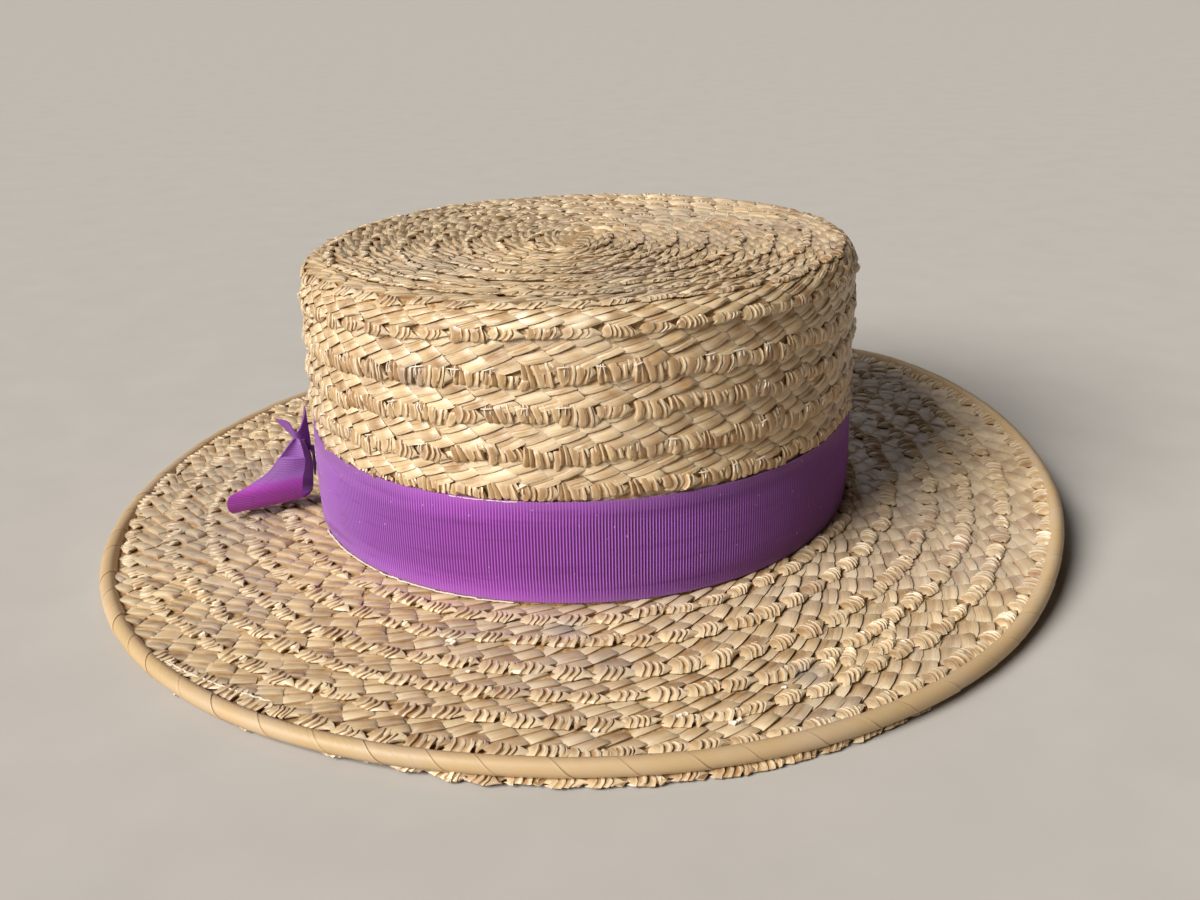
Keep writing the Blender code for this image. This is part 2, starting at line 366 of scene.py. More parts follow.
def oval_round(out):
    """Angles round the oval that lies out beyond the head oval, and the length along it up to each."""
    circle = np.linspace(0, 2 * math.pi, OVAL_STEPS)
    x, y = oval_place(circle, out)
    return circle, summed(np.hypot(np.diff(x), np.diff(y)))


def rounded(profile, passes):
    """A profile whose corners are cut again and again until it runs smoothly."""
    points = np.array(profile)
    for _ in range(passes):
        near = 0.75 * points[:-1] + 0.25 * points[1:]
        far = 0.25 * points[:-1] + 0.75 * points[1:]
        middle = np.stack([near, far], 1).reshape(-1, 2)
        points = np.vstack([points[:1], middle, points[-1:]])
    return points


CROWN_LINE = rounded(CROWN_BED, 3)
CROWN_DOWN = summed(np.linalg.norm(np.diff(CROWN_LINE, axis=0), axis=1))
BRIM_LINE = rounded(BRIM_BED, 2)


def crown_lean(x, y, height):
    """The crown's top leans with the way that the hat sits."""
    share = (height - CROWN_FOOT) / (WALL_TOP - CROWN_FOOT)
    return share * (LEAN_PER_LENGTH * y + LEAN_PER_WIDTH * x)


def brim_lift(angle, out):
    """How far the brim is sprung up at an angle and a distance out."""
    rows = np.array(BRIM_LIFT)
    degrees = np.degrees(angle) % 360
    step = np.clip(np.searchsorted(rows[:, 0], degrees, side="right") - 1, 0, len(rows) - 2)
    share = (degrees - rows[step, 0]) / (rows[step + 1, 0] - rows[step, 0])
    share = share * share * (3 - 2 * share)
    lift = rows[step, 1] + (rows[step + 1, 1] - rows[step, 1]) * share
    return lift * (np.maximum(out, 0) / BRIM_EDGE_OUT) ** 2


def crown_surface(angle, down):
    """Bed of the crown's straws, down along the tip and the side from the middle of the tip."""
    out = np.interp(down, CROWN_DOWN, CROWN_LINE[:, 0])
    height = np.interp(down, CROWN_DOWN, CROWN_LINE[:, 1])
    x, y = oval_place(angle, out)
    return np.stack([x, y, height + crown_lean(x, y, height)], -1)


def brim_surface(angle, out):
    """Bed of the brim's straws."""
    x, y = oval_place(angle, out)
    height = np.interp(out, BRIM_LINE[:, 0], BRIM_LINE[:, 1]) + brim_lift(angle, out)
    return np.stack([x, y, height], -1)


def surface_normal(surface, angle, across):
    """Direction straight off a surface."""
    along = surface(angle + 0.001, across) - surface(angle - 0.001, across)
    down = surface(angle, across + 0.1 * MM) - surface(angle, across - 0.1 * MM)
    normal = np.cross(down, along)
    return normal / np.maximum(np.linalg.norm(normal, axis=-1, keepdims=True), 1e-12)


# Braid: one spiral of sewn plait, laid on a surface of the hat


PLAIT_HEIGHT = 10.4 * MM
ANGLE_OF_FRONT = math.radians(270.0)
STEPS_A_TURN = 720
# How far past its pleats a row still falls away, as a share of the row
PAST_PLEATS = -0.2
CROWN_START = 0.35
BRIM_END_GAP = 0.01
# What the brim's rows lie apart from the hidden row before the first, in millimetres
HIDDEN_PITCH = 10.0
# Turns before and after a place over which the line of a row is evened out
BLEND_TURNS = (-0.02, -0.01, 0, 0.01, 0.02)


class Braid:
    """A spiral of braid, measured along its length, up from its pleats and off its surface."""

    def __init__(self, surface, turns, edges, start, end, rise, side=1, wall=0.0):
        self.surface = surface
        self.knot_turns = np.array(turns)
        self.knot_edges = np.array(edges)
        self.rise = rise
        self.side = side
        self.wall = wall
        self.turns = np.arange(start, end, 1 / STEPS_A_TURN)
        middle = self.edge(self.turns) - 0.5 * self.pitch(self.turns)
        path = surface(self.angle(self.turns), middle)
        self.lengths = summed(np.linalg.norm(np.diff(path, axis=0), axis=1))
        self.length = self.lengths[-1]

    def angle(self, turns):
        """Angle round the hat, for turns that run clockwise from the front."""
        return ANGLE_OF_FRONT - 2 * math.pi * turns

    def edge(self, turns):
        """Where the middle of the pleats lies across the surface."""
        near = [np.interp(turns + step, self.knot_turns, self.knot_edges) for step in BLEND_TURNS]
        return np.mean(near, axis=0)

    def pitch(self, turns):
        """Distance from the pleats of the row before to the pleats of this row."""
        return self.edge(turns) - self.edge(turns - 1)

    def turn_at(self, along):
        """Turns of the spiral up to a length along it."""
        return np.interp(along, self.lengths, self.turns)

    def degrees(self, along):
        """Degrees round the hat from +X, at a length along the braid."""
        return np.degrees(self.angle(self.turn_at(along))) % 360

    def across(self, along, up):
        """Place across the surface, for a height up from the pleats as a share of the row."""
        turns = self.turn_at(along)
        return self.edge(turns) - up * self.pitch(turns)

    def place(self, along, up, off):
        """Points on the braid: along it, up from its pleats as a share of the row, and off its bed."""
        across = self.across(along, up)
        angle = self.angle(self.turn_at(along))
        slope = self.rise * np.clip(1 - up, PAST_PLEATS, 1.0)
        normal = surface_normal(self.surface, angle, across)
        height = (off + slope) * self.side - self.wall
        return self.surface(angle, across) + normal * height[..., None]


def crown_braid(rise, side=1, wall=0.0):
    """The crown's spiral, from the middle of its tip down to the ribbon."""
    fronts = [0.0]
    fronts += [np.interp(out, CROWN_LINE[:, 0], CROWN_DOWN) for out in TIP_ROW_OUTS]
    fall = CROWN_LINE[:, 1][::-1]
    heights = SIDE_ROW_HEIGHTS + (HIDDEN_ROW_HEIGHT,)
    fronts += [np.interp(height, fall, CROWN_DOWN[::-1]) for height in heights]
    turns, edges = [-1.0], [0.0]
    for turn, (here, following) in enumerate(zip(fronts, fronts[1:])):
        for degrees, share in CROWN_ROW_SHARE:
            turns.append(turn + degrees / 360)
            edges.append(here + share * (following - here))
    return Braid(crown_surface, turns, edges, CROWN_START, len(fronts) - 1, rise, side, wall)


def brim_braid(rise, side=1, wall=0.0):
    """The brim's spiral, from the ribbon out to the binding."""
    turns, edges = [], []
    rows = len(BRIM_ROWS[0]) - 1
    for row in range(rows):
        for degrees, *outs in BRIM_ROWS:
            turns.append(row + degrees / 360)
            edges.append(outs[row] * MM)
    hidden_turns = [degrees / 360 - 1 for degrees, *_ in BRIM_ROWS]
    hidden_edges = [(first - HIDDEN_PITCH) * MM for _, first, *_ in BRIM_ROWS]
    return Braid(
        brim_surface, hidden_turns + turns, hidden_edges + edges, 0.0, rows - BRIM_END_GAP, rise, side, wall)


# Straw units, each modelled once


class Unit:
    """A modelled piece of straw, read as arrays so that it can be repeated."""

    def __init__(self, thing, grain, pale, dark):
        mesh = thing.data
        self.points = read_points(thing)
        self.corners = np.empty(len(mesh.loops), int)
        mesh.loops.foreach_get("vertex_index", self.corners)
        self.starts = np.empty(len(mesh.polygons), int)
        mesh.polygons.foreach_get("loop_start", self.starts)
        self.grain = grain
        self.pale = pale
        self.dark = dark


# A unit's side is this deep in millimetres, and narrows to this share at its foot
SIDE_DEPTH = 0.15
FOOT_SHARE = 0.9


def model_unit(columns, rows, shape, depth=0.6):
    """A grid whose rim is extruded down and closed below, and which is then bent to its shape.

    shape turns two shares, along the grid and down it, into millimetres and into how pale and
    how dark the straw is painted there: paler rims and painted highlight, and painted shade.
    """
    deselect_everything()
    bpy.ops.mesh.primitive_grid_add(x_subdivisions=columns, y_subdivisions=rows, size=1.0)
    thing = bpy.context.object
    bpy.ops.object.mode_set(mode="EDIT")
    select_open_edges()
    bpy.ops.mesh.extrude_region_move(TRANSFORM_OT_translate={"value": (0, 0, -1)})
    bpy.ops.mesh.edge_face_add()
    turn_faces_out()
    flat = read_points(thing)
    along, down = flat[:, 0] + 0.5, 0.5 - flat[:, 1]
    below = flat[:, 2] < -0.5
    x, y, z, pale, dark = np.broadcast_arrays(*shape(along, down))
    x = np.where(below, x.mean() + (x - x.mean()) * FOOT_SHARE, x)
    y = np.where(below, y.mean() + (y - y.mean()) * FOOT_SHARE, y)
    z = np.where(below, np.minimum(z - SIDE_DEPTH, -depth), z)
    write_points(thing, np.stack([x, y, z], -1) * MM)
    grain = np.stack([along * np.ptp(x), down * np.ptp(y), np.zeros(len(x))], -1)
    # The side and foot of a unit get no pale and full dark, as painted shade.
    unit = Unit(thing, grain, np.where(below, 0.0, pale), np.where(below, 1.0, dark))
    bpy.data.objects.remove(thing, do_unlink=True)
    return unit


# Straws: shares along or across them, with a value at each
STRAW_TAPER = (0.0, 0.12, 0.3, 0.9, 1.0), (0.7, 0.92, 1.0, 1.0, 0.90)
STRAW_RISE = (0.0, 0.1, 0.32, 0.66, 0.92, 1.0), (-0.3, 0.28, 0.80, 1.0, 0.82, 0.34)
STRAW_ROLL = (0.0, 0.33, 0.7, 0.9, 1.0), (0.0, 0.55, 1.0, 1.0, 0.68)
STRAW_HEIGHT = 0.95
STRAW_BELLY = 0.04
CREASE_REACH = 0.10


def model_straw(straw, columns, rows, crease=0.0):
    """A straw between two crossings, low at its left end and proud along its lower edge.

    It runs right and up, and its ends lean back by the shift of one tier to the next. Its points
    lie at the shares along and across it that columns and rows name.
    """
    right, up, shift = straw

    def shape(along, down):
        along = np.interp(along, np.linspace(0, 1, len(columns)), columns)
        down = np.interp(down, np.linspace(0, 1, len(rows)), rows)
        run = -0.08 + 1.13 * along
        lower = 0.5 + (down - 0.5) * np.interp(along, *STRAW_TAPER)
        belly = STRAW_BELLY * np.sin(math.pi * along) * (2 * down - 1)
        rise = np.interp(along, *STRAW_RISE) * np.interp(down, *STRAW_ROLL)
        fold = crease * bell(down, 0.5, CREASE_REACH)
        # Pale: painted highlight at the lit left end, and paler rims at the right end and along the lower
        # edge, partly the straw's own paler edges and partly painted highlight.
        pale = 0.8 * np.interp(along, (0.86, 1.0), (0.0, 1.0))
        pale = pale + 0.75 * np.interp(along, (0.05, 0.5), (1.0, 0.0))
        pale = np.maximum(pale, 0.5 * np.interp(down, (0.82, 1.0), (0.0, 1.0)))
        # Dark: painted shade along the upper edge, under the tier above, and in the crease.
        dark = 0.6 * np.interp(down, (0.0, 0.3), (1.0, 0.0)) + 0.8 * fold
        return right * run + shift * lower, up * (run - lower) - belly, STRAW_HEIGHT * rise - fold, pale, dark

    return model_unit(len(columns) - 1, len(rows) - 1, shape)


# Creases of each kind of fold, from its left to its right. Heights and ups are in millimetres;
# a look above nought paints the crests and rims paler, partly the straw's own paler rims and partly
# painted highlight, and one below nought paints shade in the hollows
CREASES = {
    # share of the width, height, height at the foot, top, foot, look, look at the foot
    "pleat": (
        (0.00, 0.30, 0.45, 2.1, -1.7, -1.0, -0.9),
        (0.20, 1.25, 1.00, 2.4, -1.9, 0.9, 0.1),
        (0.38, 1.20, 1.15, 2.4, -2.1, -0.2, -0.45),
        (0.80, 0.75, 1.00, 2.1, -2.0, -0.6, -0.5),
    ),
    "petal": (
        (0.00, 0.20, 0.25, 1.3, -1.1, -1.0, -0.9),
        (0.14, 0.95, 0.80, 1.7, -1.7, 0.6, 0.6),
        (0.42, 1.05, 1.00, 2.0, -2.2, -0.60, 0.2),
        (0.76, 1.15, 1.00, 1.9, -2.0, -0.50, 0.3),
        (0.93, 0.95, 0.80, 1.6, -1.6, 1.0, 0.8),
    ),
    "wing": (
        (0.00, 0.15, 0.20, -0.3, -1.2, 0.3, 0.3),
        (0.22, 0.75, 0.65, 1.1, -1.6, -0.1, 0.5),
        (0.60, 1.00, 0.95, 1.9, -1.9, -0.45, 0.3),
        (0.88, 1.05, 1.00, 2.2, -2.1, 0.9, 0.7),
    ),
    "fold": (
        (0.00, 0.30, 0.45, 1.9, -1.9, -1.0, -0.7),
        (0.36, 0.62, 0.75, 2.0, -2.0, -0.55, -0.2),
        (0.60, 1.10, 1.05, 2.1, -2.1, 0.9, 0.6),
        (0.90, 1.00, 0.95, 2.1, -2.1, 0.5, 0.5),
    ),
    "point": (
        (0.00, 0.35, 0.45, 1.9, -1.7, -1.0, -0.6),
        (0.18, 1.00, 0.95, 1.9, -1.8, 0.6, 0.5),
        (0.60, 0.80, 0.75, 0.9, -1.2, 0.6, 0.6),
        (1.00, 0.15, 0.15, -0.3, -0.6, 0.2, 0.0),
    ),
    "stub": (
        (0.00, 0.35, 0.40, 1.5, -0.6, -1.0, -0.9),
        (0.35, 1.05, 0.80, 2.1, -0.3, 1.0, 0.9),
        (0.80, 0.90, 0.60, 1.9, -0.2, 1.0, 0.6),
    ),
}
KNOT_ROWS = (0.0, 0.16, 0.42, 0.68, 0.88, 1.0)
KNOT_RISE = (0.40, 0.88, 1.0, 0.97, 0.70, 0.10)
# Spread of the width, the height and the length of a fold, and of each number of its creases
FOLD_WIDE, FOLD_TALL, FOLD_LONG, CREASE_SPREAD = 0.15, 0.16, 0.16, 0.03
# What closes a group at its right, after its last width, dark with painted shade in the gap there
LAST_CREASE = (0.05, 0.05, 0.4, -0.4, -0.5, -0.5)


def model_knot(folds, bow, rng):
    """One group of folds at the braid's pleated edge, a little different each time."""
    lines = []
    top_right, foot_right = 0.0, 0.0
    for kind, above, below in folds:
        above, below = above * rng.normal(1.0, FOLD_WIDE), below * rng.normal(1.0, FOLD_WIDE)
        tall, longer = rng.normal(1.0, FOLD_TALL), rng.normal(0.0, FOLD_LONG)
        for share, high, low, top, foot, *looks in CREASES[kind]:
            lines.append((
                top_right + share * above, foot_right + share * below, high * tall, low * tall,
                top + longer, foot - longer, *looks,
            ))
        top_right += above
        foot_right += below
    lines.append((top_right + 0.1, foot_right + 0.1, *LAST_CREASE))
    table = np.array(lines) + rng.normal(0, CREASE_SPREAD, (len(lines), len(lines[0])))
    spots = np.linspace(0, 1, len(table))

    def shape(along, down):
        down = np.interp(down, np.linspace(0, 1, len(KNOT_ROWS)), KNOT_ROWS)
        above, below, high, low, top, end, look_above, look_below = (
            np.interp(along, spots, column) for column in table.T)
        x = above + (below - above) * down + bow * (1.7 * np.sin(math.pi * down) - 0.5)
        y = top + (end - top) * down
        foot = np.interp(down, (0.42, 0.88), (0.0, 1.0))
        z = (high + (low - high) * foot) * np.interp(down, KNOT_ROWS, KNOT_RISE)
        # Above nought the look paints paler rims and highlight, below nought painted shade.
        look = look_above + (look_below - look_above) * foot
        return x, y, z, np.maximum(look, 0), np.maximum(-look, 0)

    unit = model_unit(len(table) - 1, len(KNOT_ROWS) - 1, shape, depth=0.4)
    unit.grain = unit.grain[:, (1, 0, 2)]
    return unit


# Length, width, lowest height and rise of a length of thread, in millimetres
STITCH_LENGTH, STITCH_WIDTH, STITCH_LOW, STITCH_RISE = 2.7, 0.20, 0.12, 0.22
# How far a straw of the reverse runs right and up, and its shift to the next tier, in millimetres
REVERSE_STRAW = (6.7, 2.6, 2.9)


def stitch(along, down):
    """A short length of thread."""
    x = (along - 0.5) * STITCH_LENGTH
    y = (0.5 - down) * STITCH_WIDTH
    return x, y, STITCH_LOW + STITCH_RISE * np.sin(math.pi * along), 0.0, 0.0


def flat_straw(along, down):
    """A straw of the braid's plain reverse."""
    right, up, shift = REVERSE_STRAW
    run = -0.04 + 1.06 * along
    x = right * run + shift * down
    y = up * (run - down)
    rise = np.interp(along, (0.0, 0.5, 1.0), (0.0, 0.6, 0.4))
    # Darker towards its upper edge, as painted shade under the tier above.
    return x, y, rise * np.interp(down, (0.0, 0.5, 1.0), (0.4, 1.0, 0.9)), 0.2, 0.4 * (1 - down)


# How far the grain of one copy lies from the grain of the next
GRAIN_APART = 7.3
# Angles between faces beyond which an edge stays crisp
STRAW_CRISP = math.radians(55)
FOLD_CRISP = math.radians(34)
SHELL_CRISP = math.radians(40)
BINDING_CRISP = math.radians(35)
RIBBON_CRISP = math.radians(60)


class Heap:
    """Repeated units, gathered as arrays until they are made one mesh."""

    def __init__(self):
        self.points, self.corners, self.starts = [], [], []
        self.grain, self.look = [], []
        self.count = 0
        self.corner_count = 0

    def add(self, unit, points, tint):
        """Copies of a unit at points, an array of copies by vertices by three."""
        copies, vertices = points.shape[:2]
        if not copies:
            return
        self.points.append(points.reshape(-1, 3))
        shift = self.count + np.arange(copies)[:, None] * vertices
        self.corners.append((unit.corners[None] + shift).ravel())
        corner_shift = self.corner_count + np.arange(copies)[:, None] * len(unit.corners)
        self.starts.append((unit.starts[None] + corner_shift).ravel())
        grain = np.repeat(unit.grain[None], copies, 0)
        grain[:, :, 2] = (self.count / vertices + np.arange(copies)[:, None]) * GRAIN_APART
        self.grain.append(grain.reshape(-1, 3))
        tint = np.broadcast_to(np.asarray(tint, float).reshape(-1, 1), (copies, vertices))
        pale = np.broadcast_to(unit.pale, (copies, vertices))
        dark = np.broadcast_to(unit.dark, (copies, vertices))
        self.look.append(np.stack([tint, pale, dark], -1).reshape(-1, 3))
        self.count += copies * vertices
        self.corner_count += copies * len(unit.corners)

    def move(self, change):
        """Every point so far goes through a function of an array of points."""
        self.points = [change(np.concatenate(self.points))]

    def build(self, name, crisp):
        """One mesh of all the units, in a new object at the origin."""
        mesh = bpy.data.meshes.new(name)
        points = np.concatenate(self.points)
        corners = np.concatenate(self.corners)
        starts = np.concatenate(self.starts)
        mesh.vertices.add(len(points))
        mesh.vertices.foreach_set("co", points.ravel())
        mesh.loops.add(len(corners))
        mesh.loops.foreach_set("vertex_index", corners.astype(np.int32))
        mesh.polygons.add(len(starts))
        mesh.polygons.foreach_set("loop_start", starts.astype(np.int32))
        mesh.update(calc_edges=True)
        add_attribute(mesh, "grain", np.concatenate(self.grain))
        add_attribute(mesh, "look", np.concatenate(self.look))
        mesh.shade_smooth()
        mesh.set_sharp_from_angle(angle=crisp)
        piece = bpy.data.objects.new(name, mesh)
        bpy.context.scene.collection.objects.link(piece)
        return piece

    def finish(self, name, node, material, crisp=STRAW_CRISP):
        """The piece of straw that stands for a solid."""
        finish_piece(self.build(name, crisp), node, material)


def turned(x, y, turn):
    """Places turned in their plane."""
    return x * np.cos(turn) - y * np.sin(turn), x * np.sin(turn) + y * np.cos(turn)


def lay(braid, unit, along, up, turn=0.0, wide=1.0, tall=1.0, proud=1.0, off=0.0):
    """Copies of a unit on a braid, each turned, stretched and lifted by its own amount."""
    along = np.asarray(along, float)
    up, turn, wide, tall, proud, off = (
        np.broadcast_to(np.asarray(value, float), along.shape)[:, None]
        for value in (up, turn, wide, tall, proud, off))
    x, y = turned(unit.points[None, :, 0] * wide, unit.points[None, :, 1] * tall, turn)
    reach = along[:, None] - x * braid.side
    return braid.place(reach, up + y / PLAIT_HEIGHT, off + unit.points[None, :, 2] * proud)


# Finishes


class Finish:
    """A material, whose nodes are added and joined one after another."""

    def __init__(self, name):
        self.material = bpy.data.materials.new(name)
        self.material.use_nodes = True
        self.nodes, self.links = self.material.node_tree.nodes, self.material.node_tree.links
        self.nodes.clear()
        output = self.nodes.new("ShaderNodeOutputMaterial")
        self.surface = self.nodes.new("ShaderNodeBsdfPrincipled")
        self.links.new(self.surface.outputs["BSDF"], output.inputs["Surface"])
        self.place = self.nodes.new("ShaderNodeTexCoord").outputs["Object"]

    def attribute(self, name):
        """The three numbers that each point of the piece carries under a name."""
        node = self.nodes.new("ShaderNodeAttribute")
        node.attribute_name = name
        return node.outputs["Vector"]

    def parts(self, vector):
        """The three numbers of a vector, each by itself."""
        node = self.nodes.new("ShaderNodeSeparateXYZ")
        self.links.new(vector, node.inputs[0])
        return node.outputs

    def scaled(self, source, scale):
        """A place stretched along each axis."""
        mapping = self.nodes.new("ShaderNodeMapping")
        mapping.inputs["Scale"].default_value = scale
        self.links.new(source, mapping.inputs["Vector"])
        return mapping.outputs["Vector"]

    def noise(self, source, scale, detail=2.0, rough=0.5):
        """Cloudy noise from 0 to 1."""
        texture = self.nodes.new("ShaderNodeTexNoise")
        texture.inputs["Scale"].default_value = scale
        texture.inputs["Detail"].default_value = detail
        texture.inputs["Roughness"].default_value = rough
        self.links.new(source, texture.inputs["Vector"])
        return texture.outputs["Fac"]

    def calculate(self, operation, *values):
        """One step of arithmetic on links and numbers."""
        node = self.nodes.new("ShaderNodeMath")
        node.operation = operation
        self.fill(node.inputs, values)
        return node.outputs[0]

    def between(self, source, low, high, to_low=0.0, to_high=1.0):
        """From one value to another, eased, as the source goes from low to high."""
        node = self.nodes.new("ShaderNodeMapRange")
        node.interpolation_type = "SMOOTHSTEP"
        sockets = [node.inputs[name] for name in ("Value", "From Min", "From Max", "To Min", "To Max")]
        self.fill(sockets, (source, low, high, to_low, to_high))
        return node.outputs["Result"]

    def blended(self, share, first, second):
        """The first colour, with a share of the second over it."""
        node = self.nodes.new("ShaderNodeMix")
        node.data_type = "RGBA"
        self.fill((node.inputs[0], node.inputs[6], node.inputs[7]), (share, first, second))
        return node.outputs[2]

    def fill(self, sockets, values):
        """Each socket gets its link, number or colour."""
        for socket, value in zip(sockets, values):
            if isinstance(value, bpy.types.NodeSocket):
                self.links.new(value, socket)
            else:
                socket.default_value = value

    def bumped(self, height, distance, strength=1.0):
        """The shader's surface rises and falls with a height."""
        node = self.nodes.new("ShaderNodeBump")
        node.inputs["Strength"].default_value = strength
        node.inputs["Distance"].default_value = distance
        self.links.new(height, node.inputs["Height"])
        self.links.new(node.outputs["Normal"], self.surface.inputs["Normal"])

    def done(self, colour, constants):
        """The material, with its colour and the constants of its shader."""
        self.links.new(colour, self.surface.inputs["Base Color"])
        for name, value in constants.items():
            self.surface.inputs[name].default_value = value
        return self.material


# Grey stained places, and painted shade where marked: where each lies, how far it reaches and how strong it
# is
STAINS_AND_SHADE = (
    # surface, degrees round from +X, out or down in metres, reach, strength
    ("brim", 277.0, 0.0140, 0.006, 0.75),
    ("brim", 283.0, 0.0300, 0.008, 0.45),
    ("brim", 305.0, 0.0475, 0.006, 0.60),
    ("brim", 262.0, 0.0200, 0.007, 0.40),
    ("brim", 205.0, 0.0350, 0.030, 0.45),
    ("brim", 185.0, 0.0400, 0.030, 0.35),
    # Painted shade: greys and darkens the brim's right as if it lay in partial shade.
    ("brim", 345.0, 0.0400, 0.034, 0.30),
    ("crown", 251.0, 0.1010, 0.005, 0.65),
    ("crown", 225.0, 0.0500, 0.020, 0.35),
    ("crown", 300.0, 0.0450, 0.018, 0.30),
    ("crown", 60.0, 0.0420, 0.022, 0.35),
    # These two grey and darken the tip towards its right.
    ("crown", 20.0, 0.0640, 0.018, 0.28),
    ("crown", 290.0, 0.0700, 0.012, 0.30),
)
# Torn and bleached places, with the same columns as the stains
BLEACHED = (
    ("crown", 271.0, 0.0850, 0.0028, 0.80),
    ("crown", 276.0, 0.0850, 0.0024, 0.60),
    ("crown", 280.5, 0.0850, 0.0030, 0.85),
    ("crown", 284.0, 0.0850, 0.0020, 0.70),
    ("brim", 213.0, 0.0655, 0.006, 0.75),
    ("brim", 208.0, 0.0640, 0.006, 0.75),
    ("brim", 203.0, 0.0635, 0.005, 0.70),
    ("brim", 219.0, 0.0655, 0.005, 0.60),
    ("brim", 259.5, 0.0260, 0.0022, 0.85),
    ("brim", 274.5, 0.0510, 0.0022, 0.85),
    ("brim", 284.5, 0.0450, 0.0022, 0.80),
    ("brim", 290.5, 0.0440, 0.0020, 0.80),
    ("brim", 268.0, 0.0020, 0.0040, 0.50),
)


PINK_SPECK = (("brim", 321.9, 0.0612, 0.0007, 0.8),)


def nearest_spot(finish, rough_edge, spots):
    """How much of its strength the nearest spot has."""
    most = None
    for surface, degrees, across, reach, strength in spots:
        lay_on = brim_surface if surface == "brim" else crown_surface
        centre = lay_on(np.array(math.radians(degrees)), np.array(across))
        distance = finish.nodes.new("ShaderNodeVectorMath")
        distance.operation = "DISTANCE"
        finish.fill(distance.inputs, (finish.place, tuple(float(value) for value in centre)))
        ragged = finish.calculate("MULTIPLY_ADD", rough_edge, reach * 1.2, distance.outputs["Value"])
        share = finish.between(ragged, reach * 0.8, reach * 1.9, strength, 0.0)
        most = share if most is None else finish.calculate("MAXIMUM", most, share)
    return most


def straw_material(name, straw, paler=0.0, dustier=0.22):
    """Polished straw with fibres along it, paler rims and painted highlights, painted shade in its gaps and
    creases and on the braid's right, grey stained places and dust.
    """
    finish = Finish(name)
    grain = finish.attribute("grain")
    tint, pale, dark = finish.parts(finish.attribute("look"))
    fibres = finish.noise(finish.scaled(grain, (0.16, 3.2, 1.0)), 1.0, 3.0, 0.65)
    blotch = finish.noise(finish.scaled(grain, (0.3, 0.5, 1.0)), 1.0, 2.0)
    region = finish.noise(finish.place, 30.0, 4.0)
    shade = finish.calculate("MULTIPLY_ADD", fibres, 0.7, tint)
    shade = finish.calculate("MULTIPLY_ADD", blotch, 0.45, shade)
    shade = finish.calculate("ADD", shade, -0.57 + paler)
    colour = finish.blended(finish.between(shade, 0.05, 0.55), straw.brown, straw.tan)
    colour = finish.blended(finish.between(shade, 0.42, 0.95), colour, straw.pale)
    # Cream: the straws' paler rims, and painted highlight at their lit ends and on the crests of folds.
    cream = finish.calculate("MULTIPLY", pale, finish.between(blotch, 0.25, 0.7, 0.55, 1.0))
    colour = finish.blended(cream, colour, straw.cream)
    dusty = finish.between(region, 0.45, 0.70, 0.0, dustier)
    # Grey stained places, and painted shade on the brim's right.
    stains_and_shade = nearest_spot(finish, region, STAINS_AND_SHADE)
    grey = finish.calculate("MAXIMUM", dusty, stains_and_shade)
    colour = finish.blended(dusty, colour, straw.dust)
    colour = finish.blended(stains_and_shade, colour, straw.stain_and_shade_grey)
    colour = finish.blended(nearest_spot(finish, blotch, BLEACHED), colour, straw.cream)
    colour = finish.blended(nearest_spot(finish, blotch, PINK_SPECK), colour, straw.speck)
    # Brown: painted shade in the gaps, under the tier above, in creases and hollows, and on the units' sides.
    brown = finish.calculate("MULTIPLY", dark, finish.between(fibres, 0.2, 0.8, 1.0, 0.7))
    colour = finish.blended(brown, colour, straw.brown)
    gloss = finish.between(fibres, 0.3, 0.7, 0.30, 0.50)
    rough = finish.calculate("MULTIPLY_ADD", grey, 0.3, gloss)
    finish.links.new(rough, finish.surface.inputs["Roughness"])
    finish.bumped(fibres, 0.16 * MM)
    return finish.done(colour, {"Specular IOR Level": 0.55, "Coat Weight": 0.3, "Coat Roughness": 0.28})


def ground_material(name, straw):
    """The straws that lie below, seen only in the gaps, painted from brown to tan, darker than the straws
    above, as painted shade.
    """
    finish = Finish(name)
    speckle = finish.noise(finish.place, 700.0, 3.0)
    colour = finish.blended(finish.between(speckle, 0.35, 0.6), straw.brown, straw.tan)
    finish.bumped(speckle, 0.3 * MM)
    return finish.done(colour, {"Roughness": 0.7})


